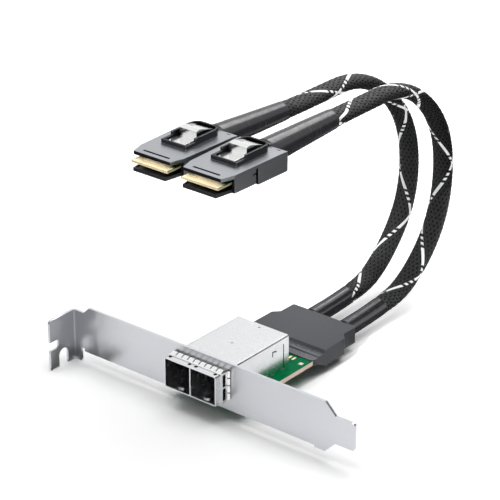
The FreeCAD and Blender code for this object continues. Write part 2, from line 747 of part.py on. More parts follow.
def latch_guard():
    """Raised rim round the latch, low at its front and higher at the cheeks and rear."""
    half = GUARD_WIDTH / 2
    front_low = (-half, -GUARD_FRONT, -PLUG_TOP_WALL)
    ring = rounded_block(front_low, (half, -GUARD_REAR, GUARD_HIGH), GUARD_CORNER, Z_AXIS)
    square_front = box(front_low, (half, -GUARD_FRONT + GUARD_CORNER, GUARD_HIGH))
    low_front = box((-half - PAST, -GUARD_FRONT - PAST, GUARD_LOW),
                    (half + PAST, -GUARD_STEP, GUARD_HIGH + PAST))
    return ring.fuse(square_front).removeSplitter().cut(low_front)


def latch_well():
    """Opening through the top wall that the latch leaf lies in."""
    half = GUARD_WIDTH / 2 - GUARD_WALL
    front = -GUARD_FRONT + GUARD_WALL
    low = -PLUG_TOP_WALL - PAST
    high = GUARD_HIGH + PAST
    rear = -GUARD_REAR - GUARD_WALL
    well = rounded_block((-half, front, low), (half, rear, high), GUARD_CORNER - GUARD_WALL, Z_AXIS)
    return well.fuse(box((-half, front, low), (half, front + GUARD_CORNER, high)))


def leaf_front():
    """Front face of the leaf's root, behind the front wall of the well."""
    return -GUARD_FRONT + GUARD_WALL + LEAF_ROOT_GAP


def latch_seat():
    """Block under the top wall with the slot that holds the leaf's root."""
    slot_front = leaf_front() - LEAF_ROOT_GAP
    slot_rear = leaf_front() + LEAF_SHEET + LEAF_ROOT_GAP
    half = GUARD_WIDTH / 2
    seat_low = -LEAF_ROOT_DEPTH
    seat = box((-half, slot_front - SEAT_FRONT_WALL, seat_low),
               (half, slot_rear + SEAT_REAR_WALL, -PLUG_TOP_WALL))
    slot_half = LEAF_WIDTH / 2 - LEAF_PLATE_INSET + LEAF_ROOT_GAP
    return seat.cut(box((-slot_half, slot_front, seat_low - PAST), (slot_half, slot_rear, 0)))


def plug_upper_shell():
    """Top wall with the upper jaw, front side walls, latch guard and latch seat."""
    jaw_front = JAW_SETBACK - PLUG_LENGTH
    top = plug_slab(0, jaw_front, 0, PLUG_NOSE_WIDTH, -PLUG_TOP_WALL, PLUG_TOP_WALL)
    walls = both_sides(plug_side_wall().cut(seam_notch()), 0)
    slot_front = jaw_front + JAW_SLOT_SETBACK
    slot = box((-JAW_SLOT_LENGTH / 2, slot_front, -PLUG_TOP_WALL - PAST),
               (JAW_SLOT_LENGTH / 2, slot_front + JAW_SLOT_WIDTH, PAST))
    top = top.fuse([walls, latch_guard()]).removeSplitter().cut(latch_well())
    return top.cut(slot).cut(rear_bevel()).cut(rear_slot()).fuse(latch_seat())


def rear_bevel():
    """Wedge off the rear of the top, behind the latch guard."""
    half = PLUG_WIDTH / 2 + PAST
    section = [(-REAR_BEVEL_LENGTH, 0), (0, -REAR_BEVEL_DROP), (PAST, -REAR_BEVEL_DROP), (PAST, PAST),
               (-REAR_BEVEL_LENGTH, PAST)]
    return prism([(-half, y, z) for y, z in section], X_AXIS * 2 * half)


def rear_slot():
    """Small slot near the right-hand rear corner of the top."""
    rear = -REAR_SLOT_SETBACK
    return box((REAR_SLOT_X - REAR_SLOT_LENGTH / 2, rear - REAR_SLOT_WIDTH, -REAR_SLOT_DEPTH),
               (REAR_SLOT_X + REAR_SLOT_LENGTH / 2, rear, PAST))


def plug_side_wall():
    """Right side wall in front of the seam."""
    seam = -PLUG_SEAM - PLUG_SEAM_GAP
    outer = PLUG_SIDE_STEP
    inner = PLUG_SIDE_STEP + PLUG_SIDE_WALL
    ends = ((seam, outer), (NOSE_START, outer), (NOSE_START, inner), (seam, inner))
    return prism([(plug_half(y) - inset, y, -PLUG_HEIGHT) for y, inset in ends],
                 Z_AXIS * (PLUG_HEIGHT - PLUG_TOP_WALL))


def seam_notch():
    """Small notch in the right side wall at the seam."""
    half = plug_half(NOSE_START)
    seam = -PLUG_SEAM - PLUG_SEAM_GAP
    low = -SEAM_NOTCH_DROP - SEAM_NOTCH_HEIGHT / 2
    return box((half - 2 * PLUG_SIDE_WALL, seam - SEAM_NOTCH_LENGTH, low),
               (half + PAST, seam + PAST, low + SEAM_NOTCH_HEIGHT))


def plug_rear_shell():
    """Tub under the rear of the top wall, with floor, sides and rear wall."""
    seam_half = plug_half(-PLUG_SEAM)
    rear_half = plug_half(0)
    low = -PLUG_HEIGHT - REAR_SHELL_DROP
    plan = [(-rear_half, 0), (-seam_half, -PLUG_SEAM), (seam_half, -PLUG_SEAM), (rear_half, 0)]
    tub = prism([(x, y, low) for x, y in plan], Z_AXIS * (-PLUG_TOP_WALL - low))
    inner = seam_half - PLUG_SIDE_WALL
    floor = -PLUG_HEIGHT + PLUG_FLOOR_WALL
    return tub.cut(box((-inner, -PLUG_SEAM - PAST, floor), (inner, -PLUG_REAR_WALL, 0)))


def plug_guide_plate():
    """Thin lower jaw, a tray with a low rim, between the front side walls."""
    inset = PLUG_SIDE_STEP + PLUG_SIDE_WALL
    front = -PLUG_LENGTH
    rear = -PLUG_SEAM - PLUG_SEAM_GAP
    height = PLUG_FLOOR_WALL + GUIDE_RIM_HEIGHT
    tray = plug_slab(inset, front, rear, GUIDE_WIDTH, -PLUG_HEIGHT, height)
    floor = -PLUG_HEIGHT + PLUG_FLOOR_WALL
    rim = GUIDE_RIM
    return tray.cut(plug_slab(inset + rim, front + rim, rear + PAST, GUIDE_WIDTH - 2 * rim, floor, height))


def card_front():
    """Front edge of the paddle card."""
    return -PLUG_LENGTH + CARD_SETBACK


def plug_paddle_card():
    """Card between the two jaws."""
    half = CARD_WIDTH / 2
    front = card_front()
    return box((-half, front, -CARD_DROP - CARD_THICKNESS), (half, front + CARD_LENGTH, -CARD_DROP))


def plug_card_contacts():
    """Gold strips along the front of the card, on its top and underside."""
    front = card_front() + STRIP_SETBACK
    strips = []
    for low in (-CARD_DROP, -CARD_DROP - CARD_THICKNESS - STRIP_THICKNESS):
        for index in range(STRIP_COUNT):
            x = (index - (STRIP_COUNT - 1) / 2) * STRIP_PITCH
            strips.append(box((x - STRIP_WIDTH / 2, front, low),
                              (x + STRIP_WIDTH / 2, front + STRIP_LENGTH, low + STRIP_THICKNESS)))
    return Part.makeCompound(strips)


def plug_inner_mould():
    """Block moulded round the wires' ends, which fills the rear shell and grips the card."""
    half = plug_half(-PLUG_SEAM) - PLUG_SIDE_WALL - INNER_GAP
    block = box((-half, -PLUG_SEAM + INNER_GAP, -PLUG_HEIGHT + PLUG_FLOOR_WALL),
                (half, -PLUG_REAR_WALL, -LEAF_ROOT_DEPTH))
    return block.cut(plug_paddle_card())


def plug_latch_leaf():
    """Spring leaf folded from sheet: root, plate, raised thumb pad, tail and two side cheeks."""
    sheet = LEAF_SHEET
    front = leaf_front()
    pad = -PAD_FRONT
    crest = pad + PAD_BEVEL
    crest_end = crest + PAD_CREST
    crest_end_top = PAD_TOP - PAD_FALL
    tail = crest_end + TAIL_STEP
    tail_top = crest_end_top - TAIL_DROP
    foot = PLATE_TOP - sheet
    plate = [(front, PLATE_TOP), (pad + sheet, PLATE_TOP), (pad + sheet, foot), (front + sheet, foot),
             (front + sheet, -LEAF_ROOT_DEPTH), (front, -LEAF_ROOT_DEPTH)]
    upper = [(pad, foot), (pad, PAD_SHOULDER), (crest, PAD_TOP), (crest_end, crest_end_top), (tail, tail_top),
             (-TAIL_END, TAIL_TOP)]
    lower = [(-TAIL_END, TAIL_TOP - sheet), (tail - sheet, tail_top - sheet),
             (crest_end - sheet, crest_end_top - sheet), (crest, PAD_TOP - sheet),
             (pad + sheet, PAD_SHOULDER - sheet / 2), (pad + sheet, foot)]
    cheek = [(pad, foot), (pad, PAD_SHOULDER), (crest, PAD_TOP), (-TAIL_END, CHEEK_END_TOP),
             (-TAIL_END, CHEEK_END_LOW), (crest, foot)]
    half = LEAF_WIDTH / 2
    plate_half = half - LEAF_PLATE_INSET
    strip = prism([(-plate_half, y, z) for y, z in plate], X_AXIS * 2 * plate_half)
    raised = prism([(-half, y, z) for y, z in upper + lower], X_AXIS * 2 * half)
    side = prism([(half - sheet, y, z) for y, z in cheek], X_AXIS * sheet)
    return strip.fuse([raised, both_sides(side, 0)]).removeSplitter()


PLUG_PIECES = {
    "upper_shell": plug_upper_shell,
    "rear_shell": plug_rear_shell,
    "guide_plate": plug_guide_plate,
    "paddle_card": plug_paddle_card,
    "card_contacts": plug_card_contacts,
    "inner_mould": plug_inner_mould,
    "latch_leaf": plug_latch_leaf,
}


def plug(side, plug_x):
    """All pieces of one plug, set at the end of its cable."""
    for name, make in PLUG_PIECES.items():
        piece = make()
        piece.translate(V(plug_x, PLUG_REAR, PLUG_TOP))
        save(side + "_plug_" + name, piece)


os.makedirs("parts", exist_ok=True)
save("slot_bracket", slot_bracket())
save("cage_shell", cage_shell())
save("cage_floor", cage_floor())
save("port_divider", port_divider())
save("spring_collar", spring_collar())
save("left_receptacle", receptacle(-1))
save("right_receptacle", receptacle(1))
save("left_receptacle_contacts", receptacle_contacts(-1))
save("right_receptacle_contacts", receptacle_contacts(1))
save("circuit_board", circuit_board())
save("board_pads", board_pads())
save("overmould", overmould())
cable_set("left", LEFT_EXIT_X, LEFT_BEND_POINTS, LEFT_PLUG_X)
cable_set("right", RIGHT_EXIT_X, RIGHT_BEND_POINTS, RIGHT_PLUG_X)
plug("left", LEFT_PLUG_X)
plug("right", RIGHT_PLUG_X)
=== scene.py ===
import json
import logging
import math
from collections.abc import Callable
from dataclasses import dataclass, field
from enum import Enum

import bmesh
import bpy
import numpy as np
from mathutils import Matrix, Vector

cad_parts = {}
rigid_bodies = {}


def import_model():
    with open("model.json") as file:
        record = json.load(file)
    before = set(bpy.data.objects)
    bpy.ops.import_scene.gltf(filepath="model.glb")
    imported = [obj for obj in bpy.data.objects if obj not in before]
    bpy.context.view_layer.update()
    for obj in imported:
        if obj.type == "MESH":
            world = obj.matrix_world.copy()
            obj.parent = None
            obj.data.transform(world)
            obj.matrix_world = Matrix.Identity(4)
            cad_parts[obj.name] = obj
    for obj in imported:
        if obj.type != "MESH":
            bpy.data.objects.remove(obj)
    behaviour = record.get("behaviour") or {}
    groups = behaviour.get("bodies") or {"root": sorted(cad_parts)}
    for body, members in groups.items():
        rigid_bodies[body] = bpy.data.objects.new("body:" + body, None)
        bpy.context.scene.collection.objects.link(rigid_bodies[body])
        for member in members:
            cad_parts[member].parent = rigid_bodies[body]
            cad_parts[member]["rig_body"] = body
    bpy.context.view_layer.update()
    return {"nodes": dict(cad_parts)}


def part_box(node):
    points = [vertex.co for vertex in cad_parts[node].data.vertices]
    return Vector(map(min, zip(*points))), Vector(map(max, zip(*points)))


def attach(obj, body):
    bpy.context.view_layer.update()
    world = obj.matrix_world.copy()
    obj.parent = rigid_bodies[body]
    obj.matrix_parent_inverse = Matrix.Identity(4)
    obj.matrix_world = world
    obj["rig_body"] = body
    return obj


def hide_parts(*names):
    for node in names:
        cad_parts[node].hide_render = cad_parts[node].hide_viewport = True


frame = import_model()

Array = np.ndarray
Tree = bpy.types.NodeTree
Socket = bpy.types.NodeSocket
Mesh = bpy.types.Mesh
Piece = bpy.types.Object
Triple = tuple[float, float, float]
Pair = tuple[float, float]
Shape = Callable[[Array], None]

LOG = logging.getLogger("slot_adapter")
MM = 0.001
# Points that are to be one, such as those of a ring that has shrunk to a pole, lie within this
SAME_POINT = 0.0001 * MM
# A face whose direction has more than this share along z is level
LEVEL = 0.9
# Most values of a noise lie between these two
NOISE_LOW, NOISE_HIGH = 0.3, 0.7
# A wave texture's bands are this far apart at a scale of one
WAVE_SPACING = 0.314
# Numbers of a Mix node's sockets when it mixes colours
MIX_SHARE, MIX_FIRST, MIX_SECOND, MIX_RESULT = 0, 6, 7, 2


class Side(Enum):
    """The two cables and plugs, named as the flange end and the tongue end of the bracket."""

    LEFT = "left"
    RIGHT = "right"


class Ease(Enum):
    """How far an edge is rounded over, in millimetres, by how the piece was made."""

    FOIL_OR_GROUND = 0.03
    CUT_BOARD = 0.05
    THIN_SHEET = 0.06
    STAMPED_OR_CAST = 0.14
    MOULDED = 0.22


def linear(colour: str) -> tuple[float, float, float, float]:
    """Turns an sRGB hex colour into linear values with full alpha.

    Args:
        colour: hex colour such as "#A0A0A0".

    Returns:
        Red, green, blue and alpha.
    """
    channels = np.array([int(colour[at:at + 2], 16) for at in (1, 3, 5)]) / 255
    values = np.where(channels <= 0.04045, channels / 12.92, ((channels + 0.055) / 1.055) ** 2.4)
    return (*values.tolist(), 1.0)


WHITE = linear("#FFFFFF")


def add_node(tree: Tree, kind: str, sockets: dict | None = None, **settings: str) -> bpy.types.NodeOutputs:
    """Adds one node, sets its properties and fills or links its inputs.

    Args:
        tree: node tree that gets the node.
        kind: Blender's name for the kind of shader node, without the words that all of them start with.
        sockets: inputs by name or number, each a plain value or another node's output.
        settings: node properties by name.

    Returns:
        The new node's outputs.
    """
    node = tree.nodes.new("ShaderNode" + kind)
    for key, value in settings.items():
        setattr(node, key, value)
    for key, value in (sockets or {}).items():
        if isinstance(value, Socket):
            tree.links.new(value, node.inputs[key])
        else:
            node.inputs[key].default_value = value
    return node.outputs


@dataclass(frozen=True)
class Finish:
    """A surface with a fine grain that shifts its colour, roughness and height a little.

    The grain is a noise whose cells have a real size in millimetres along x, y and z.
    """

    name: str
    slot: str | None
    colour: str
    grain_colour: str
    roughness: float
    grain_mm: Triple
    metallic: float = 0.0
    ior: float = 1.5
    roughness_spread: float = 0.06
    bump_mm: float = 0.004
    specular: float = 0.5

    def build(self) -> bpy.types.Material:
        """Makes the material.

        Returns:
            The finished material.
        """
        material = bpy.data.materials.new(self.name)
        material.use_nodes = True
        tree = material.node_tree
        shader = tree.nodes["Principled BSDF"]
        shader.inputs["Metallic"].default_value = self.metallic
        shader.inputs["Specular IOR Level"].default_value = self.specular
        if not self.metallic:
            shader.inputs["IOR"].default_value = self.ior
        grain = self.grain(tree)
        rough = add_node(tree, "MapRange", {
            "Value": grain, "From Min": NOISE_LOW, "From Max": NOISE_HIGH,
            "To Min": self.roughness - self.roughness_spread,
            "To Max": self.roughness + self.roughness_spread})
        bump = add_node(tree, "Bump", {
            "Height": self.height(tree, grain), "Distance": self.bump_mm * MM, "Strength": 1.0})
        tree.links.new(self.base_colour(tree, grain), shader.inputs["Base Color"])
        tree.links.new(rough["Result"], shader.inputs["Roughness"])
        tree.links.new(bump["Normal"], shader.inputs["Normal"])
        return material

    def grain(self, tree: Tree) -> Socket:
        """Noise with cells of the grain's size.

        Args:
            tree: node tree of the material.

        Returns:
            The noise value, from 0 to 1.
        """
        place = add_node(tree, "TexCoord")
        mapped = add_node(tree, "Mapping", {
            "Vector": place["Object"], "Scale": tuple(1 / (size * MM) for size in self.grain_mm)})
        noise = add_node(tree, "TexNoise", {
            "Vector": mapped["Vector"], "Scale": 1.0, "Detail": 2.0, "Roughness": 0.55})
        return noise["Fac"]

    def base_colour(self, tree: Tree, grain: Socket) -> Socket:
        """Colour that moves between the two tones with the grain.

        Args:
            tree: node tree of the material.
            grain: noise value.

        Returns:
            The colour.
        """
        mix = add_node(tree, "Mix", {
            MIX_SHARE: grain, MIX_FIRST: linear(self.colour), MIX_SECOND: linear(self.grain_colour)},
            data_type="RGBA")
        return mix[MIX_RESULT]

    def height(self, tree: Tree, grain: Socket) -> Socket:
        """Height that the bump reads, which is the grain itself."""
        return grain


@dataclass(frozen=True)
class BoardFinish(Finish):
    """Fibreglass board: green resist over copper tracks on its faces, bare cream laminate on its edges."""

    track_colour: str = "#00744A"
    edge_colour: str = "#E3CDBD"
    track_mm: float = 0.9
    track_rise: Pair = (0.6, 0.75)

    def base_colour(self, tree: Tree, grain: Socket) -> Socket:
        """Green with lighter tracks where the face looks up or down, and cream elsewhere.

        Args:
            tree: node tree of the material.
            grain: noise value.

        Returns:
            The colour.
        """
        place = add_node(tree, "TexCoord")
        # A band is one track and its gap, so the wave's scale is worked out from the tracks' spacing
        bands = add_node(tree, "TexWave", {
            "Vector": place["Object"], "Scale": WAVE_SPACING / (self.track_mm * MM),
            "Distortion": 2.0, "Detail": 1.0, "Detail Scale": 0.2}, wave_type="BANDS", bands_direction="X")
        track = add_node(tree, "MapRange", {
            "Value": bands["Fac"], "From Min": self.track_rise[0], "From Max": self.track_rise[1]})
        resist = add_node(tree, "Mix", {
            MIX_SHARE: track["Result"], MIX_FIRST: super().base_colour(tree, grain),
            MIX_SECOND: linear(self.track_colour)}, data_type="RGBA")
        facing = add_node(tree, "NewGeometry")
        parts = add_node(tree, "SeparateXYZ", {"Vector": facing["True Normal"]})
        upward = add_node(tree, "Math", {0: parts["Z"]}, operation="ABSOLUTE")
        level = add_node(tree, "Math", {0: upward[0], 1: LEVEL}, operation="GREATER_THAN")
        whole = add_node(tree, "Mix", {
            MIX_SHARE: level[0], MIX_FIRST: linear(self.edge_colour),
            MIX_SECOND: resist[MIX_RESULT]}, data_type="RGBA")
        return whole[MIX_RESULT]


@dataclass(frozen=True)
class FoldShadeFinish(Finish):
    """Plated sheet with a painted darker reflection where it is folded over its upper edges."""

    fold_shade_colour: str = "#97989A"
    fold_shade_lean: Pair = (0.03, 0.12)

    def base_colour(self, tree: Tree, grain: Socket) -> Socket:
        """The sheet's own colour, and a darker painted reflection where the face leans between upright and
        level.

        The lean is the product of the x and z shares of the face's direction.

        Args:
            tree: node tree of the material.
            grain: noise value.

        Returns:
            The colour.
        """
        facing = add_node(tree, "NewGeometry")
        parts = add_node(tree, "SeparateXYZ", {"Vector": facing["Normal"]})
        product = add_node(tree, "Math", {0: parts["X"], 1: parts["Z"]}, operation="MULTIPLY")
        lean = add_node(tree, "Math", {0: product[0]}, operation="ABSOLUTE")
        fold = add_node(tree, "MapRange", {
            "Value": lean[0], "From Min": self.fold_shade_lean[0], "From Max": self.fold_shade_lean[1]})
        mix = add_node(tree, "Mix", {
            MIX_SHARE: fold["Result"], MIX_FIRST: super().base_colour(tree, grain),
            MIX_SECOND: linear(self.fold_shade_colour)}, data_type="RGBA")
        return mix[MIX_RESULT]


@dataclass(frozen=True)
class ThreadFinish(Finish):
    """Flat bundle of smooth filaments, whose grooves run along the bundle's own UV map."""

    filaments: int = 4

    def height(self, tree: Tree, grain: Socket) -> Socket:
        """Rounded ridges across the bundle, one for each filament.

        Args:
            tree: node tree of the material.
            grain: noise value.

        Returns:
            The height, from 0 to 1.
        """
        place = add_node(tree, "TexCoord")
        parts = add_node(tree, "SeparateXYZ", {"Vector": place["UV"]})
        turns = add_node(tree, "Math", {0: parts["X"], 1: math.pi * self.filaments}, operation="MULTIPLY")
        ridge = add_node(tree, "Math", {0: turns[0]}, operation="SINE")
        upper = add_node(tree, "Math", {0: ridge[0]}, operation="ABSOLUTE")
        return upper[0]


# Bright plated mild steel, rolled and stamped: a soft mirror with faint lines along the rolling direction
PLATED_STEEL = Finish("zinc_plated_steel", "bracket_steel", "#D2D4D8", "#CFD1D5", 0.3, (9.0, 0.5, 0.5), 1.0,
                      roughness_spread=0.015, bump_mm=0.0002)
# Sheared edge of the same steel, where the plating is thin: a dull grey line
SHEARED_STEEL = Finish("sheared_steel_edge", "bracket_steel", "#8E9094", "#86888C", 0.35, (1.0, 1.0, 1.0),
                       1.0, bump_mm=0.0005)
# Tinned sheet, folded: paler and a little cloudy, with a painted darker reflection along its folds
TINNED_SHEET = FoldShadeFinish("tinned_steel_sheet", "cage_metal", "#DFE0E2", "#DADBDD", 0.26, (3.0, 3.0, 3.0),
                            1.0, roughness_spread=0.02, bump_mm=0.00012)
# Polished spring steel: the brightest metal here, nearly a mirror
SPRING_STEEL = Finish("polished_spring_steel", "spring_metal", "#F2F2F1", "#E8E8E8", 0.17, (0.6, 4.0, 0.6),
                      1.0, roughness_spread=0.03, bump_mm=0.0004)
# Glass-filled nylon, moulded: near black with a fine dull grain
NYLON = Finish("glass_filled_nylon", "black_plastic", "#0D0D0E", "#141415", 0.4, (0.35, 0.35, 0.35),
               ior=1.53, bump_mm=0.006)
# Gold plate over copper: warm and bright, with small tone steps from pad to pad
GOLD = Finish("gold_plated_copper", "contact_gold", "#FFF0CC", "#FBE2B0", 0.4, (1.1, 1.1, 1.1), 0.2,
              bump_mm=0.001)
# Solder on a copper pad: a dull pinkish silver
SOLDER = Finish("soldered_copper", "contact_gold", "#D8CBC4", "#CDBFB8", 0.4, (0.5, 0.5, 0.5), 0.2)
# Fibreglass board with glossy green solder resist
BOARD = BoardFinish("fibreglass_board", "board", "#00522C", "#005C33", 0.3, (2.0, 2.0, 2.0), bump_mm=0.002,
                    specular=0.02)
# The thinner card in a plug, whose edges are ground and stained
PADDLE_CARD = BoardFinish("paddle_card_board", "board", "#00502B", "#005A32", 0.3, (2.0, 2.0, 2.0),
                          bump_mm=0.002, specular=0.04, edge_colour="#A9987C")
# Flexible PVC, moulded in an etched tool: dark grey with a satin skin
MOULDED_PVC = Finish("moulded_pvc", "mould_grey", "#37383C", "#3C3D41", 0.44, (0.4, 0.4, 0.4), ior=1.53,
                     bump_mm=0.006, specular=0.22)
# The same PVC on the nose's ledges, smoother and painted lighter: a painted highlight where the ledges catch
# the light
LEDGE_PVC_HIGHLIGHT = Finish("polished_pvc_painted_highlight", "mould_grey", "#47484C", "#4C4D51", 0.24, (0.4, 0.4, 0.4),
                      ior=1.53, bump_mm=0.002)
# Polyester filament, braided: black threads with a slight shine along each filament
POLYESTER = ThreadFinish("polyester_braid", "braid", "#131315", "#1C1C1E", 0.42, (1.5, 1.5, 1.5), ior=1.57,
                         bump_mm=0.05, specular=0.35)
# White polyester tracer thread in the braid
TRACER = ThreadFinish("white_polyester_thread", None, "#FFFFFF", "#FAFAF9", 0.5, (1.5, 1.5, 1.5), ior=1.57,
                      bump_mm=0.03)
# Wires and filler under the braid, which show only as black between the threads
WIRE_BUNDLE = Finish("black_wire_bundle", "braid", "#040404", "#080808", 0.8, (1.0, 1.0, 1.0), bump_mm=0.03,
                     specular=0.1)
# Heat-shrunk polyolefin tube: black and shiny, with slow waves from shrinking
SHRINK_TUBE = Finish("shrunk_polyolefin_tube", "sleeve", "#26262A", "#2A2A2D", 0.22, (2.5, 2.5, 2.5),
                     bump_mm=0.01, specular=0.35)
# Zinc die casting with satin nickel plate: mid grey with a fine speckle
CAST_ZINC = Finish("satin_nickel_zinc", "plug_metal", "#A8AAAE", "#A1A4A8", 0.34, (0.3, 0.3, 0.3), 1.0,
                   roughness_spread=0.04, bump_mm=0.001)
# The same casting with black nickel on the walls round the latch; the same dark finish is also painted shade
# on the plugs' forward faces and in the cage's rim holes
BLACK_ZINC_AND_SHADE = Finish("black_nickel_zinc_and_painted_shade", "plug_metal", "#37383B", "#323336", 0.34, (0.3, 0.3, 0.3), 1.0,
                    roughness_spread=0.04, bump_mm=0.001)
# Painted shade on the rear shell's faces that look forwards and those above the flat top: black for the unlit
# gap between the shells
PARTING_FACE_SHADE = Finish("parting_face_painted_shade", "plug_metal", "#050505", "#090909", 0.7, (0.5, 0.5, 0.5),
                      bump_mm=0.002, specular=0.1)


def linked(name: str, data: bpy.types.ID) -> Piece:
    """Makes an object of some data and links it to the scene.

    Args:
        name: object name.
        data: mesh, camera or light.

    Returns:
        The object.
    """
    piece = bpy.data.objects.new(name, data)
    bpy.context.scene.collection.objects.link(piece)
    return piece


@dataclass
class Wardrobe:
    """Makes each finish's material once and puts it on pieces."""

    made: dict[str, bpy.types.Material] = field(default_factory=dict)

    def dress(self, piece: Piece, *finishes: Finish) -> None:
        """Gives a piece its finishes and says so in the log.

        Args:
            piece: object to dress.
            finishes: one finish for each material index of the mesh, the main one first.
        """
        piece.data.materials.clear()
        for finish in finishes:
            if finish.name not in self.made:
                self.made[finish.name] = finish.build()
            piece.data.materials.append(self.made[finish.name])
        LOG.info("%s: %d faces, %s", piece.name, len(piece.data.polygons), finishes[0].name)

    def present(self, mesh: Mesh, body: str, *finishes: Finish, node: str | None = None) -> Piece:
        """Makes a mesh a dressed piece with the mesh's name that rides on a body.

        Args:
            mesh: mesh with its place in its vertices.
            body: body of the frame.
            finishes: finishes of the piece, the main one first.
            node: CAD node that the piece stands for, where there is one.

        Returns:
            The piece.
        """
        piece = linked(mesh.name, mesh)
        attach(piece, body)
        if node:
            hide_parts(node)
        self.dress(piece, *finishes)
        return piece


def grid_faces(rows: int, columns: int, wrap_rows: bool, wrap_columns: bool) -> Array:
    """Quads of a grid, counted row by row, with the last row or column joined to the first where it wraps.

    Args:
        rows: number of rows.
        columns: number of columns.
        wrap_rows: whether the last row joins the first.
        wrap_columns: whether the last column joins the first.

    Returns:
        Array of four corner numbers for each quad.
    """
    row = np.arange(rows if wrap_rows else rows - 1)[:, None]
    column = np.arange(columns if wrap_columns else columns - 1)[None, :]
    next_row = (row + 1) % rows
    next_column = (column + 1) % columns
    corners = (row * columns + column, row * columns + next_column,
               next_row * columns + next_column, next_row * columns + column)
    return np.stack(corners, axis=-1).reshape(-1, 4)


def mesh_from(name: str, points: Array, faces: Array, across: Array | None = None) -> Mesh:
    """Mesh of points and quads, smooth shaded.

    Args:
        name: mesh name.
        points: array of x, y and z.
        faces: array of quads.
        across: value from 0 to 1 for each point, kept as the UV map's first number.

    Returns:
        The new mesh.
    """
    mesh = bpy.data.meshes.new(name)
    mesh.from_pydata(points.reshape(-1, 3).tolist(), [], faces.tolist())
    mesh.polygons.foreach_set("use_smooth", np.ones(len(mesh.polygons), bool))
    if across is not None:
        layer = mesh.uv_layers.new(name="across")
        corners = np.zeros((len(mesh.loops), 2), np.float32)
        corners[:, 0] = across.reshape(-1)[faces.reshape(-1)]
        layer.data.foreach_set("uv", corners.reshape(-1))
    mesh.update()
    return mesh


def read(items: bpy.types.bpy_prop_collection, key: str, width: int = 1, kind: type = float) -> Array:
    """Reads one property of every element of a mesh.

    Args:
        items: elements, such as the mesh's vertices.
        key: name of the property.
        width: how many numbers the property has.
        kind: type of the numbers.

    Returns:
        Array with a row for each element.
    """
    values = np.zeros(len(items) * width, kind)
    items.foreach_get(key, values)
    return values.reshape(-1, width)


def close_poles(mesh: Mesh) -> None:
    """Merges the points of a ring that has no radius into one.

    Args:
        mesh: mesh with such rings, changed here.
    """
    work = bmesh.new()
    work.from_mesh(mesh)
    bmesh.ops.remove_doubles(work, verts=work.verts, dist=SAME_POINT)
    work.to_mesh(mesh)
    work.free()


def smooth_step(share: Array) -> Array:
    """Three times the square less twice the cube of a share that is held between 0 and 1."""
    share = np.clip(share, 0, 1)
    return share ** 2 * (3 - 2 * share)


def full_turn(sides: int) -> Array:
    """Evenly spaced angles of a ring's points, as one row."""
    return np.linspace(0, 2 * np.pi, sides, endpoint=False)[None, :]


@dataclass
class CentreLine:
    """Smooth line of a cable, with two directions across it at each point and an oval's two stretches."""

    points: Array

    def __post_init__(self) -> None:
        """Works out lengths along the line and the directions across it.

        The x axis, made square to the line, is one direction: the cables lie in nearly upright planes across
        x, so it never turns. The other is square to both.
        """
        steps = np.linalg.norm(np.diff(self.points, axis=0), axis=1)
        self.along = np.concatenate(([0.0], np.cumsum(steps)))
        run = np.gradient(self.points, self.along, axis=0)
        run /= np.linalg.norm(run, axis=1, keepdims=True)
        side = np.array([1.0, 0.0, 0.0]) - run[:, :1] * run
        self.side = side / np.linalg.norm(side, axis=1, keepdims=True)
        self.up = np.cross(self.side, run)
        self.stretch = np.ones((len(self.points), 3))

    def flatten(self, wide: float, thin: float, start: float, end: float, blend: float) -> None:
        """Makes the section oval between two lengths, by a smooth step from round at both ends.

        Args:
            wide: stretch across the bend's plane.
            thin: stretch within the bend's plane.
            start: length at which the oval starts.
            end: length at which it ends.
            blend: length of each smooth step.
        """
        inside = np.minimum(self.along - start, end - self.along)
        share = smooth_step(inside / blend)[:, None]
        self.stretch = 1 + share * (np.array([wide, thin, 1.0]) - 1)

    @property
    def length(self) -> float:
        """Length of the line in metres."""
        return float(self.along[-1])

    def at(self, values: Array, along: Array) -> Array:
        """Values kept per point of the line, read at any lengths along it."""
        return np.stack([np.interp(along, self.along, values[:, axis]) for axis in range(3)], axis=-1)

    def around(self, along: Array, angle: Array, radius: Array) -> Array:
        """Points round the line: its point, plus the radius times stretched cosine sideways and sine upwards.

        Args:
            along: lengths along the line.
            angle: angles round it.
            radius: distances from it.

        Returns:
            Array of points, one for each element of the three arrays.
        """
        along, angle, radius = np.broadcast_arrays(along, angle, radius)
        stretch = self.at(self.stretch, along)
        sideways = (np.cos(angle) * stretch[..., 0])[..., None] * self.at(self.side, along)
        upwards = (np.sin(angle) * stretch[..., 1])[..., None] * self.at(self.up, along)
        return self.at(self.points, along) + radius[..., None] * (sideways + upwards)


def smooth_line(route_mm: tuple[Triple, ...], order: int = 3, steps: int = 24) -> CentreLine:
    """Line of a NURBS spline that has the route's points as its control points.

    Args:
        route_mm: points of the route in millimetres.
        order: order of the spline.
        steps: points of the line for each point of the route.

    Returns:
        The line that the spline gives.
    """
    curve = bpy.data.curves.new("route", "CURVE")
    curve.dimensions = "3D"
    curve.resolution_u = steps
    spline = curve.splines.new("NURBS")
    spline.points.add(len(route_mm) - 1)
    corners = np.column_stack((np.array(route_mm) * MM, np.ones(len(route_mm))))
    spline.points.foreach_set("co", corners.reshape(-1))
    spline.order_u = order
    spline.use_endpoint_u = True
    holder = bpy.data.objects.new("route", curve)
    mesh = bpy.data.meshes.new_from_object(holder)
    line = CentreLine(read(mesh.vertices, "co", 3))
    bpy.data.meshes.remove(mesh)
    bpy.data.objects.remove(holder)
    bpy.data.curves.remove(curve)
    return line


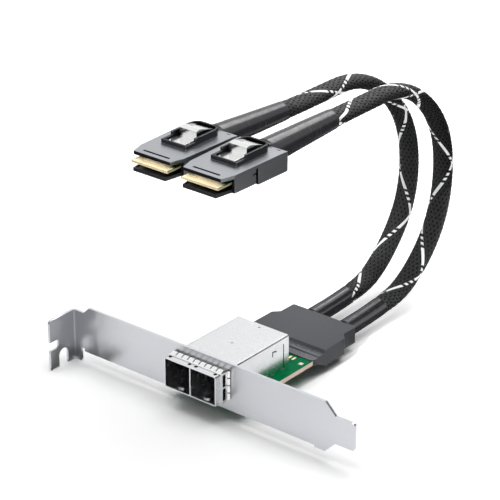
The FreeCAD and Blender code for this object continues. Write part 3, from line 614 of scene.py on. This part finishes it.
@dataclass
class BraidedCable:
    """One cable: wire bundle, open braid, two white tracer threads and a shrink sleeve at each end."""

    wardrobe: Wardrobe
    side: Side
    route_mm: tuple[Triple, ...]
    real_length: float
    tracers_meet: float
    dashes_at: Pair
    upper_radii: Pair
    diameter: float = 6.1 * MM
    core_radius: float = 2.6 * MM
    core_rows: int = 260
    core_sides: int = 20
    braid_radius: float = 2.93 * MM
    threads: int = 14
    thread_width: float = 0.78 * MM
    thread_arch: float = 0.10 * MM
    thread_points: int = 5
    weave_height: float = 0.085 * MM
    pitch: float = 44.0 * MM
    flare: float = 0.22 * MM
    flare_length: float = 3.5 * MM
    steps_per_crossing: int = 5
    tracer_width: float = 0.92 * MM
    tracer_over: float = 0.15 * MM
    tracer_under: float = -0.45 * MM
    tracer_step: float = 0.14 * MM
    dash_period: float = 11.0 * MM
    dips: tuple[float, ...] = (-2.0 * MM, 0.0, 2.0 * MM)
    dip_half: float = 0.42 * MM
    dip_slope: float = 0.22 * MM
    lower_sleeve: float = 21.0 * MM
    upper_sleeve: float = 35.0 * MM
    lower_radii: Pair = (3.32 * MM, 3.32 * MM)
    sleeve_bore: float = 3.0 * MM
    sleeve_rows: int = 40
    sleeve_sides: int = 40
    sleeve_taper: float = 1.15
    # Height of each wave, the angle that it runs through and the angle that it starts at
    waves: tuple[Triple, ...] = ((0.025 * MM, 9.0, 0.0), (0.02 * MM, 23.0, 1.0))
    lip_points: int = 7
    oval: Pair = (1.28, 0.845)
    oval_blend: float = 5.0 * MM
    tuck: float = 2.0 * MM

    def build(self) -> Piece:
        """Builds and dresses every piece of the cable.

        Returns:
            The wire bundle.
        """
        self.line = smooth_line(self.route_mm)
        end = self.line.length
        self.upper_start = end - self.upper_sleeve
        self.line.flatten(*self.oval, self.lower_sleeve, self.upper_start, self.oval_blend)
        core = self.core()
        self.pieces = [
            self.braid(),
            self.tracers(),
            self.sleeve("lower_sleeve", 0.0, self.lower_sleeve, self.lower_radii),
            self.sleeve("upper_sleeve", end, self.upper_start, self.upper_radii),
        ]
        return core

    def name(self, piece: str) -> str:
        """Full name of a piece of this cable."""
        return f"{self.side.value}_{piece}"

    def core(self) -> Piece:
        """Round tube on the line, whose first and last rings have shrunk to a point and close it.

        Returns:
            The tube.
        """
        end = self.line.length
        rows = np.concatenate(([0.0], np.linspace(0, end, self.core_rows), [end]))[:, None]
        radius = np.full(rows.shape, self.core_radius)
        radius[[0, -1]] = 0.0
        points = self.line.around(rows, full_turn(self.core_sides), radius)
        faces = grid_faces(len(rows), self.core_sides, False, True)
        mesh = mesh_from(self.name("cable_core"), points, faces)
        close_poles(mesh)
        return self.wardrobe.present(mesh, "adapter", WIRE_BUNDLE, node=self.name("cable"))

    def braid_rows(self, step: float) -> Array:
        """Lengths along the line at which the braid has points, about a step apart.

        Args:
            step: distance between two rows of points.

        Returns:
            The lengths.
        """
        start = self.lower_sleeve - self.tuck
        end = self.upper_start + self.tuck
        return np.linspace(start, end, int((end - start) / step) + 1)

    def braid_level(self, rows: Array) -> Array:
        """Middle radius of the braid, which stands out a little where it comes from under a sleeve."""
        nearest = np.minimum(np.abs(rows - self.lower_sleeve), np.abs(self.upper_start - rows))
        return self.braid_radius + self.flare * np.exp(-nearest / self.flare_length)

    def ribbons(self, name: str, rows: Array, starts: Array, lift: Array, width: float) -> Mesh:
        """Flat threads wound round the line in both directions.

        A thread's angle is its start plus or minus a full turn for each pitch, counted from the place where
        the two tracer threads meet. Its section is a low arch: the radius is the braid's level, plus the
        thread's lift, plus the arch height times one minus the square of the place across.

        Args:
            name: mesh name.
            rows: lengths along the line.
            starts: start of each thread as a share of a turn, the same for both directions.
            lift: height of each row of points over the braid's level, in two rows for the two directions.
            width: width of a thread.

        Returns:
            The mesh of all threads.
        """
        across = np.linspace(-1, 1, self.thread_points)
        slant = math.atan(2 * np.pi * self.braid_radius / self.pitch)
        half_angle = width / 2 / math.cos(slant) / self.braid_radius
        turn = np.array([1.0, -1.0])[:, None, None, None]
        turns = (rows - self.tracers_meet) / self.pitch
        angle = 2 * np.pi * (starts[None, :, None, None] + turn * turns[None, None, :, None])
        angle = angle + turn * half_angle * across
        level = (self.braid_level(rows) + lift)[:, None, :, None]
        radius = level + self.thread_arch * (1 - across ** 2)
        points = self.line.around(rows[None, None, :, None], angle, radius)
        one = grid_faces(len(rows), len(across), False, False)
        thread = np.arange(2 * starts.size)[:, None, None]
        faces = np.where(thread < starts.size, one, one[:, ::-1]) + thread * (len(rows) * len(across))
        share = np.broadcast_to((across + 1) / 2, angle.shape)
        return mesh_from(name, points, faces.reshape(-1, 4), share)

    def braid(self) -> Piece:
        """Black threads of a plain weave.

        Both directions rise and dip by a cosine with a period of two crossings, one against the other.

        Returns:
            The braid.
        """
        rows = self.braid_rows(self.pitch / (2 * self.threads) / self.steps_per_crossing)
        turns = self.threads * (rows - self.tracers_meet) / self.pitch
        wave = self.weave_height * np.cos(2 * np.pi * turns)
        starts = np.arange(self.threads) / self.threads
        lift = np.stack((wave, -wave))
        mesh = self.ribbons(self.name("cable_braid"), rows, starts, lift, self.thread_width)
        return self.wardrobe.present(mesh, "adapter", POLYESTER)

    def tracers(self) -> Piece:
        """White threads, one each way, that lie over the braid and dip under it three times in each period.

        The height falls from over to under by a smooth step within the dip's slope on both sides of each dip.

        Returns:
            The tracer threads.
        """
        rows = self.braid_rows(self.tracer_step)
        centre = self.tracers_meet + np.array(self.dashes_at)[:, None, None]
        half = self.dash_period / 2
        place = (rows[None, :, None] - centre + half) % self.dash_period - half
        nearest = np.abs(place - np.array(self.dips)).min(axis=-1)
        level = smooth_step((nearest - self.dip_half) / self.dip_slope + 0.5)
        lift = self.tracer_under + (self.tracer_over - self.tracer_under) * level
        mesh = self.ribbons(self.name("cable_tracers"), rows, np.zeros(1), lift, self.tracer_width)
        return self.wardrobe.present(mesh, "adapter", TRACER)

    def sleeve(self, node: str, base: float, tip: float, radii: Pair) -> Piece:
        """Shrink sleeve: a closed profile of outer skin, rounded lip and bore, carried round the line.

        The outer radius runs from the base to the tip by a power of the place along, with two sine waves of a
        few hundredths of a millimetre that fade towards the tip, and the lip is a half circle over the wall.

        Args:
            node: name of the CAD node without its side.
            base: length along the line at the thick end.
            tip: length along the line at the thin end.
            radii: outer radius at the base and at the tip.

        Returns:
            The sleeve.
        """
        base_radius, tip_radius = radii
        half_wall = (tip_radius - self.sleeve_bore) / 2
        toward = 1.0 if tip > base else -1.0
        share = np.linspace(0, 1, self.sleeve_rows)
        wave = sum(height * np.sin(share * turn + start) for height, turn, start in self.waves)
        outer = base_radius + (tip_radius - base_radius) * share ** self.sleeve_taper + wave * (1 - share)
        outer_along = base + (tip - toward * half_wall - base) * share
        bend = np.linspace(0, np.pi, self.lip_points)[1:-1]
        lip = self.sleeve_bore + half_wall * (1 + np.cos(bend))
        lip_along = tip + toward * half_wall * (np.sin(bend) - 1.0)
        rows = np.concatenate((outer_along, lip_along, outer_along[[-1, 0]]))[:, None]
        radius = np.concatenate((outer, lip, [self.sleeve_bore, self.sleeve_bore]))[:, None]
        points = self.line.around(rows, full_turn(self.sleeve_sides) * toward, radius)
        faces = grid_faces(len(rows), self.sleeve_sides, True, True)
        mesh = mesh_from(self.name(node) + "_skin", points, faces)
        return self.wardrobe.present(mesh, "adapter", SHRINK_TUBE, node=self.name(node))

    def declare(self, core: Piece, plug_pieces: list[Piece]) -> None:
        """Logs the length of the cable's line.

        Args:
            core: the tube that follows the line.
            plug_pieces: pieces of the plug on its far end; not used.
        """
        LOG.info("%s: %.1f mm long", core.name, self.line.length / MM)


@dataclass
class HardPieces:
    """The stamped, moulded and cast pieces: each a copy of its CAD node with its edges eased."""

    wardrobe: Wardrobe
    same_corner: float = 0.002 * MM
    flat_area: float = 20 * MM * MM
    short_edge: float = 0.3 * MM
    flat_angle: float = math.radians(1.0)
    edge_angle: float = math.radians(28.0)

    def eased(self, node: str, ease: Ease, *finishes: Finish, shape: Shape | None = None) -> Piece:
        """A merged copy of a node with flat faces joined and its edges rounded over.

        Args:
            node: CAD node that the copy stands for.
            ease: how far its edges are rounded.
            finishes: its finishes, the main one first.
            shape: function that moves the copy's points, where it isn't to have the node's own form.

        Returns:
            The copy.
        """
        source = frame["nodes"][node]
        mesh = bpy.data.meshes.new(node + "_eased")
        work = bmesh.new()
        work.from_mesh(source.data)
        bmesh.ops.remove_doubles(work, verts=work.verts, dist=self.same_corner)
        bmesh.ops.dissolve_limit(work, angle_limit=self.flat_angle, verts=work.verts, edges=work.edges)
        curved = [any(self.flat_angle < edge.calc_face_angle(math.pi) < self.edge_angle
                      for edge in face.edges) for face in work.faces]
        work.to_mesh(mesh)
        work.free()
        if shape:
            points = read(mesh.vertices, "co", 3)
            shape(points)
            mesh.vertices.foreach_set("co", points.reshape(-1))
            mesh.update()
        mesh.set_sharp_from_angle(angle=self.edge_angle)
        small = self.faces(mesh)[2] < self.flat_area
        mesh.polygons.foreach_set("use_smooth", np.array(curved) & small)
        self.mark_long_edges(mesh)
        piece = self.wardrobe.present(mesh, source["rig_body"], *finishes, node=node)
        bevel = piece.modifiers.new("eased_edges", "BEVEL")
        bevel.width = ease.value * MM
        bevel.segments = 2
        bevel.limit_method = "WEIGHT"
        return piece

    def mark_long_edges(self, mesh: Mesh) -> None:
        """Gives sharp edges a bevel weight, but not the short ones round small holes.

        Args:
            mesh: mesh whose sharp edges are marked, changed here.
        """
        corners = read(mesh.vertices, "co", 3)[read(mesh.edges, "vertices", 2, np.int32)]
        lengths = np.linalg.norm(corners[:, 1] - corners[:, 0], axis=1)
        sharp = read(mesh.attributes["sharp_edge"].data, "value", kind=bool)[:, 0]
        weights = mesh.attributes.new("bevel_weight_edge", "FLOAT", "EDGE")
        weights.data.foreach_set("value", (sharp & (lengths > self.short_edge)).astype(np.float32))

    def faces(self, mesh: Mesh) -> tuple[Array, Array, Array]:
        """Middles, directions and areas of a mesh's faces."""
        faces = mesh.polygons
        return read(faces, "center", 3), read(faces, "normal", 3), read(faces, "area")[:, 0]

    def use_second(self, piece: Piece, chosen: Array) -> None:
        """Gives the chosen faces of a piece its second finish, and the others its main one."""
        piece.data.polygons.foreach_set("material_index", chosen.astype(np.int32))


@dataclass
class Bracket(HardPieces):
    """Slot bracket with the port cage, its collar and what is inside the ports."""

    rim_low: float = 18.6 * MM
    hole_area: float = 0.15 * MM * MM
    hole_lean: float = 0.3
    finger_ends: Pair = (-30.32 * MM, -26.74 * MM)
    finger_faces: Pair = (8.27 * MM, 19.02 * MM)
    finger_places: tuple[float, ...] = (0.0, 0.35, 0.6, 0.8, 1.0)
    finger_drop: tuple[float, ...] = (0.0, -0.10 * MM, 0.37 * MM, 0.52 * MM, 0.29 * MM)

    def build(self) -> None:
        """Eases and dresses the metal pieces and the receptacles."""
        bracket = self.eased("slot_bracket", Ease.STAMPED_OR_CAST, PLATED_STEEL, SHEARED_STEEL)
        bracket.modifiers["eased_edges"].material = 1
        cage = self.eased("cage_shell", Ease.THIN_SHEET, TINNED_SHEET, BLACK_ZINC_AND_SHADE)
        middle, facing, area = self.faces(cage.data)
        # The walls of the rim's small holes lie in shade: the dark metal on them is painted shade
        upright = np.abs(facing[:, 2]) < self.hole_lean
        self.use_second(cage, (middle[:, 2] > self.rim_low) & upright & (area < self.hole_area))
        self.eased("cage_floor", Ease.THIN_SHEET, TINNED_SHEET)
        self.eased("port_divider", Ease.THIN_SHEET, TINNED_SHEET)
        self.eased("spring_collar", Ease.FOIL_OR_GROUND, SPRING_STEEL, shape=self.press_fingers)
        for side in Side:
            self.eased(f"{side.value}_receptacle", Ease.THIN_SHEET, NYLON)
            self.wardrobe.dress(frame["nodes"][f"{side.value}_receptacle_contacts"], GOLD)

    def press_fingers(self, points: Array) -> None:
        """Presses the collar's fingers towards the cage, so that their crests lie near the front.

        A point of the upper or lower row moves by a drop that is read from its place along the finger.

        Args:
            points: places of the collar's points, changed here.
        """
        start, end = self.finger_ends
        along = (points[:, 1] - start) / (end - start)
        drop = np.interp(along, self.finger_places, self.finger_drop)
        low, top = self.finger_faces
        points[:, 2] -= np.where(points[:, 2] > top, drop, 0) - np.where(points[:, 2] < low, drop, 0)


@dataclass
class BoardAndMould(HardPieces):
    """Circuit board with its pads, and the grey block moulded over its rear."""

    pad_row_end: float = 10.0 * MM
    riser_foot: Pair = (16.48 * MM, 8.45 * MM)
    riser_shift: Pair = (1.25 * MM, -0.25 * MM)
    near: float = 0.05 * MM
    ledge_end: float = 18.0 * MM

    def build(self) -> None:
        """Eases and dresses the board, its pads and the overmould."""
        self.eased("circuit_board", Ease.CUT_BOARD, BOARD)
        pads = self.eased("board_pads", Ease.FOIL_OR_GROUND, GOLD, SOLDER)
        self.use_second(pads, self.faces(pads.data)[0][:, 0] > self.pad_row_end)
        mould = self.eased("overmould", Ease.MOULDED, MOULDED_PVC, LEDGE_PVC_HIGHLIGHT, shape=self.steepen)
        middle, facing, _ = self.faces(mould.data)
        # The nose's level ledges get the lighter PVC, a painted highlight
        self.use_second(mould, (middle[:, 1] < self.ledge_end) & (facing[:, 2] > LEVEL))

    def steepen(self, points: Array) -> None:
        """Moves the foot of the nose's upper riser back under the top's edge, which makes it steep."""
        foot = (np.abs(points[:, 1:] - self.riser_foot) < self.near).all(axis=1)
        points[foot, 1:] += self.riser_shift


@dataclass
class Plug(HardPieces):
    """Flat plug with its latch on the end of a cable."""

    side: Side = field(kw_only=True)
    flat_top: float = 91.75 * MM
    forward: float = 0.7
    contact_pitch: float = 0.8 * MM
    contact_width: float = 0.56 * MM
    contact_spread: float = 1.25
    contact_setback: float = 0.25 * MM
    wing_x: Pair = (-4.0 * MM, -2.9 * MM)
    wing_y: Pair = (-26.3 * MM, -21.5 * MM)
    wing_z: Pair = (92.0 * MM, 92.345 * MM)

    def build(self) -> list[Piece]:
        """Eases and dresses the plug's pieces.

        Returns:
            The pieces that go with the cable.
        """
        start = self.side.value + "_plug_"
        leaf = start + "latch_leaf"
        return [
            self.shell(start + "upper_shell", Ease.STAMPED_OR_CAST, BLACK_ZINC_AND_SHADE),
            self.shell(start + "rear_shell", Ease.FOIL_OR_GROUND, PARTING_FACE_SHADE),
            self.eased(start + "card_contacts", Ease.FOIL_OR_GROUND, GOLD, shape=self.spread),
            self.eased(start + "guide_plate", Ease.THIN_SHEET, NYLON),
            self.eased(start + "paddle_card", Ease.CUT_BOARD, PADDLE_CARD),
            self.eased(start + "inner_mould", Ease.THIN_SHEET, NYLON),
            self.eased(leaf, Ease.THIN_SHEET, SPRING_STEEL),
            self.wing(leaf),
        ]

    def shell(self, node: str, ease: Ease, black: Finish) -> Piece:
        """Cast shell with a black finish above the plug's flat top and on the faces that look forwards, where
        it is painted shade.

        Args:
            node: CAD node of the shell.
            ease: how far its edges are rounded.
            black: the finish, which is painted shade on the faces that look forwards.

        Returns:
            The shell.
        """
        piece = self.eased(node, ease, CAST_ZINC, black)
        piece.modifiers["eased_edges"].material = 0
        middle, facing, _ = self.faces(piece.data)
        # Faces above the flat top and faces that look forwards take the second finish; on the forward faces
        # it is painted shade
        self.use_second(piece, (middle[:, 2] > self.flat_top) | (facing[:, 1] < -self.forward))
        return piece

    def wing(self, leaf: str) -> Piece:
        """Left edge of the leaf's plate, which is wider than the leaf's root.

        A rectangle in x and z is carried along y in four rings, of which the first and last have shrunk to a
        point.

        Args:
            leaf: CAD node of the leaf, which gives the middle in x and the body.

        Returns:
            The edge.
        """
        low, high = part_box(leaf)
        middle = (low[0] + high[0]) / 2
        x = middle + np.array(self.wing_x)[[0, 1, 1, 0]]
        z = np.array(self.wing_z)[[0, 0, 1, 1]]
        ring = np.stack((x, np.zeros(4), z), axis=-1)
        ends = np.broadcast_to(ring.mean(axis=0), ring.shape)
        points = np.stack((ends, ring, ring, ends))
        points[:, :, 1] = np.array(self.wing_y)[[0, 0, 1, 1]][:, None]
        mesh = mesh_from(leaf + "_wing", points, grid_faces(4, 4, False, True)[:, ::-1])
        close_poles(mesh)
        mesh.polygons.foreach_set("use_smooth", np.zeros(len(mesh.polygons), bool))
        return self.wardrobe.present(mesh, frame["nodes"][leaf]["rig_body"], SPRING_STEEL)

    def spread(self, points: Array) -> None:
        """Widens each contact about its own middle and draws its front end out to the card's edge.

        Args:
            points: places of the contacts' points, changed here.
        """
        first = points[:, 0].min() + self.contact_width / 2
        middle = first + np.round((points[:, 0] - first) / self.contact_pitch) * self.contact_pitch
        points[:, 0] = middle + (points[:, 0] - middle) * self.contact_spread
        front = points[:, 1] < points[:, 1].min() + self.contact_width
        points[front, 1] -= self.contact_setback


@dataclass(frozen=True)
class Card:
    """Flat card of the studio: its middle and size in metres, the direction square to it and its glow.

    The first size runs level and the second square to it. A glow of none is black and of one is white.
    """

    name: str
    middle: Triple
    normal: Triple
    size: Pair
    glow: float


# Directions to the view's two sides, and that of level cards, whose first size runs along x by the trace of y
REAR_RIGHT = (0.63, 0.77, 0.0)
FRONT_LEFT = (-0.63, -0.77, 0.0)
DOWN = (0.0, 0.001, -1.0)
# Every card shows only in reflections: the dim ones, those lying on the floor among them, are painted
# reflected shade, and the two bright strips are painted highlights on glossy parts
CARDS = (
    Card("side_card", (0.080, 0.075, 0.056), REAR_RIGHT, (0.30, 0.088), 0.05),
    Card("front_card", (-0.071, -0.120, 0.035), FRONT_LEFT, (0.26, 0.07), 0.03),
    Card("corner_card", (-0.0621, -0.0435, 0.0125), (0.777, -0.63, 0.0), (0.040, 0.025), 0.5),
    Card("corner_floor", (-0.054, -0.0335, 0.0003), DOWN, (0.012, 0.012), 0.12),
    Card("edge_floor", (0.0, -0.0245, 0.0003), DOWN, (0.116, 0.006), 0.1),
    Card("sleeve_floor", (-0.035, 0.056, 0.0004), DOWN, (0.15, 0.032), 0.12),
    Card("rear_floor", (0.055, 0.186, 0.0004), DOWN, (0.33, 0.228), 0.08),
    Card("rear_card", (-0.10, 0.16, 0.02), (-0.567, 0.80, 0.0), (0.30, 0.04), 0.1),
    Card("low_strip", (0.048, 0.092, 0.018), REAR_RIGHT, (0.10, 0.036), 2.2),
    Card("strip_visor", (0.0605, 0.0735, 0.038), DOWN, (0.089, 0.108), 0.05),
    Card("light_strip", (-0.12, 0.70, 0.70), (-0.12, 0.70, 0.70), (0.60, 0.25), 7.5),
)


@dataclass
class Studio:
    """Camera, white surroundings, pale floor, a large soft light, a small spot and cards for reflections."""

    lens: float = 158.4
    sensor: float = 36.0
    near_limit: float = 0.01
    eye: Triple = (0.40855, -0.50492, 0.35925)
    right: Triple = (0.77469, 0.63234, 0.0)
    up: Triple = (-0.27245, 0.33378, 0.90243)
    floor_half: float = 2.0
    fill: float = 0.14
    softbox_size: float = 1.0
    softbox_at: Triple = (0.02, 0.03, 0.95)
    softbox_watts: float = 13.0
    spot_at: Triple = (0.023, -0.40, 0.43)
    spot_aim: Triple = (-0.002, -0.037, 0.0885)
    spot_cone: float = math.radians(6.0)
    spot_blend: float = 0.6
    spot_radius: float = 0.03
    spot_watts: float = 25.0
    far_glow: Pair = (0.14, 0.40)
    rear_glow: Pair = (0.030, 0.062)
    glow: float = 0.5

    def build(self) -> None:
        """Sets up everything that isn't the object."""
        bpy.context.scene.view_settings.view_transform = "Standard"
        self.camera()
        self.surroundings()
        self.floor()
        self.softbox()
        self.spot()
        for card in CARDS:
            self.card(card)

    def camera(self) -> None:
        """Camera at the place and angle of the photograph."""
        data = bpy.data.cameras.new("camera")
        data.lens = self.lens
        data.sensor_width = self.sensor
        data.clip_start = self.near_limit
        right = Vector(self.right).normalized()
        up = Vector(self.up).normalized()
        turn = Matrix((right, up, right.cross(up))).transposed()
        camera = linked("camera", data)
        camera.matrix_world = Matrix.Translation(self.eye) @ turn.to_4x4()
        bpy.context.scene.camera = camera

    def empty_tree(self, owner: bpy.types.Material | bpy.types.World) -> Tree:
        """Turns on the nodes of a material or a world and clears them.

        Args:
            owner: the material or the world.

        Returns:
            Its empty node tree.
        """
        owner.use_nodes = True
        owner.node_tree.nodes.clear()
        return owner.node_tree

    def seen(self, tree: Tree) -> Socket:
        """One where the world is seen directly, mirrored or through glass, and zero for light that it gives.

        Args:
            tree: node tree of the world.

        Returns:
            The value.
        """
        path = add_node(tree, "LightPath")
        direct = add_node(tree, "Math", {
            0: path["Is Camera Ray"], 1: path["Is Glossy Ray"]}, operation="MAXIMUM")
        either = add_node(tree, "Math", {0: direct[0], 1: path["Is Transmission Ray"]}, operation="MAXIMUM")
        return either[0]

    def surroundings(self) -> None:
        """World that looks white and gives a weak even light."""
        world = bpy.data.worlds.new("white_surroundings")
        tree = self.empty_tree(world)
        light = add_node(tree, "Background", {"Color": WHITE, "Strength": self.fill})
        white = add_node(tree, "Background", {"Color": WHITE, "Strength": 1.0})
        mix = add_node(tree, "MixShader", {0: self.seen(tree), 1: light[0], 2: white[0]})
        add_node(tree, "OutputWorld", {"Surface": mix[0]})
        bpy.context.scene.world = world

    def sheet(self, name: str, corners: Array) -> Piece:
        """Flat sheet with four corners, as a piece of the stage.

        Args:
            name: object name.
            corners: places of the corners, in order.

        Returns:
            The sheet.
        """
        sheet = linked(name, mesh_from(name, corners, np.array([[0, 1, 2, 3]])))
        return sheet

    def floor(self) -> None:
        """Matt white paper under the object, which keeps the object's soft shadow.

        Far from the object, where the softbox falls off, and behind the mould the paper glows and stays
        white: far off this keeps it evenly white, behind the mould it is painted light that lifts the cables'
        shadow. The stronger of the two glows counts.
        """
        half = self.floor_half
        corners = np.array([(-half, -half, 0), (half, -half, 0), (half, half, 0), (-half, half, 0)], float)
        floor = self.sheet("floor", corners)
        paper = bpy.data.materials.new("white_paper")
        tree = self.empty_tree(paper)
        matt = add_node(tree, "BsdfDiffuse", {"Color": linear("#F8F8F8")})
        place = add_node(tree, "TexCoord")
        reach = add_node(tree, "VectorMath", {0: place["Object"]}, operation="LENGTH")
        parts = add_node(tree, "SeparateXYZ", {"Vector": place["Object"]})
        far, rear = (
            add_node(tree, "MapRange", {
                "Value": value, "From Min": start, "From Max": end, "To Max": self.glow})
            for value, (start, end) in ((reach["Value"], self.far_glow),
                                        (parts["Y"], self.rear_glow)))
        amount = add_node(tree, "Math", {0: far["Result"], 1: rear["Result"]}, operation="MAXIMUM")
        glow = add_node(tree, "Emission", {"Color": WHITE, "Strength": amount[0]})
        both = add_node(tree, "AddShader", {0: matt[0], 1: glow[0]})
        add_node(tree, "OutputMaterial", {"Surface": both[0]})
        floor.data.materials.append(paper)

    def card(self, card: Card) -> None:
        """Puts up a card, which shows only in reflections.

        Its corners are its middle plus or minus half of each size, along a level direction in the card and
        along the direction in it that is square to that.

        Args:
            card: its place, size and glow.
        """
        back = Vector(card.normal).normalized()
        level = Vector((-back.y, back.x, 0.0)).normalized()
        rise = back.cross(level)
        width, height = card.size
        corners = [Vector(card.middle) + level * (width / 2 * x) + rise * (height / 2 * y)
                   for x, y in ((-1, -1), (1, -1), (1, 1), (-1, 1))]
        sheet = self.sheet(card.name, np.array(corners))
        for use in ("camera", "diffuse", "transmission", "shadow"):
            setattr(sheet, f"visible_{use}", False)
        material = bpy.data.materials.new(card.name)
        tree = self.empty_tree(material)
        light = add_node(tree, "Emission", {"Color": WHITE, "Strength": card.glow})
        add_node(tree, "OutputMaterial", {"Surface": light[0]})
        sheet.data.materials.append(material)

    def softbox(self) -> None:
        """Large square light above the object, turned to face it."""
        data = bpy.data.lights.new("softbox", "AREA")
        data.shape = "SQUARE"
        data.size = self.softbox_size
        data.energy = self.softbox_watts
        # Metal seen from above mirrors the white surroundings and not the lamp, which would burn it out
        self.hang(data, self.softbox_at, (0.0, 0.0, 0.0)).visible_glossy = False

    def spot(self) -> None:
        """Small soft light in front, held to the plugs' open ends, where the softbox does not reach."""
        data = bpy.data.lights.new("plug_spot", "SPOT")
        data.spot_size = self.spot_cone
        data.spot_blend = self.spot_blend
        data.shadow_soft_size = self.spot_radius
        data.energy = self.spot_watts
        self.hang(data, self.spot_at, self.spot_aim)

    def hang(self, data: bpy.types.Light, at: Triple, aim: Triple) -> Piece:
        """Puts a light at its place and turns it to a point.

        Args:
            data: the light.
            at: its place in metres.
            aim: the point that it faces.

        Returns:
            The lamp.
        """
        lamp = linked(data.name, data)
        lamp.location = at
        lamp.rotation_mode = "QUATERNION"
        lamp.rotation_quaternion = (Vector(aim) - Vector(at)).to_track_quat("-Z", "Y")
        return lamp


LEFT_ROUTE_MM = (
    (-7.35, 38.58, 6.4),
    (-7.35, 65.48, 6.5),
    (-7.9, 79.68, 12.75),
    (-8.6, 92.98, 26.05),
    (-9.3, 98.38, 39.55),
    (-10.0, 98.28, 54.45),
    (-10.7, 92.68, 67.95),
    (-11.4, 79.68, 80.6),
    (-12.05, 65.58, 86.2),
    (-12.05, 50.4, 86.3),
    (-12.05, 28.78, 86.2),
    (-12.0, -7.72, 88.2),
)
RIGHT_ROUTE_MM = (
    (6.75, 38.58, 6.4),
    (6.75, 64.58, 6.7),
    (6.9, 77.58, 12.05),
    (7.1, 89.08, 23.55),
    (7.35, 94.88, 37.55),
    (7.6, 94.88, 55.85),
    (7.85, 88.88, 70.35),
    (8.1, 76.38, 82.85),
    (8.35, 61.68, 88.95),
    (8.35, 45.8, 88.85),
    (8.35, 26.28, 88.85),
    (8.35, -7.72, 88.3),
)


def main() -> None:
    """Builds the stage, the cables and every other piece, in that order."""
    logging.basicConfig(level=logging.INFO, format="%(name)s: %(message)s")
    wardrobe = Wardrobe()
    Studio().build()
    cables = (
        BraidedCable(wardrobe, Side.LEFT, LEFT_ROUTE_MM, real_length=0.2109, tracers_meet=61.6 * MM,
                     dashes_at=(6.6 * MM, 2.1 * MM), upper_radii=(4.3 * MM, 3.38 * MM)),
        BraidedCable(wardrobe, Side.RIGHT, RIGHT_ROUTE_MM, real_length=0.2071, tracers_meet=41.0 * MM,
                     dashes_at=(1.1 * MM, 5.7 * MM), upper_radii=(4.55 * MM, 3.5 * MM)),
    )
    cores = [cable.build() for cable in cables]
    Bracket(wardrobe).build()
    BoardAndMould(wardrobe).build()
    for cable, core in zip(cables, cores):
        cable.declare(core, Plug(wardrobe, side=cable.side).build())


if __name__ == "__main__":
    main()
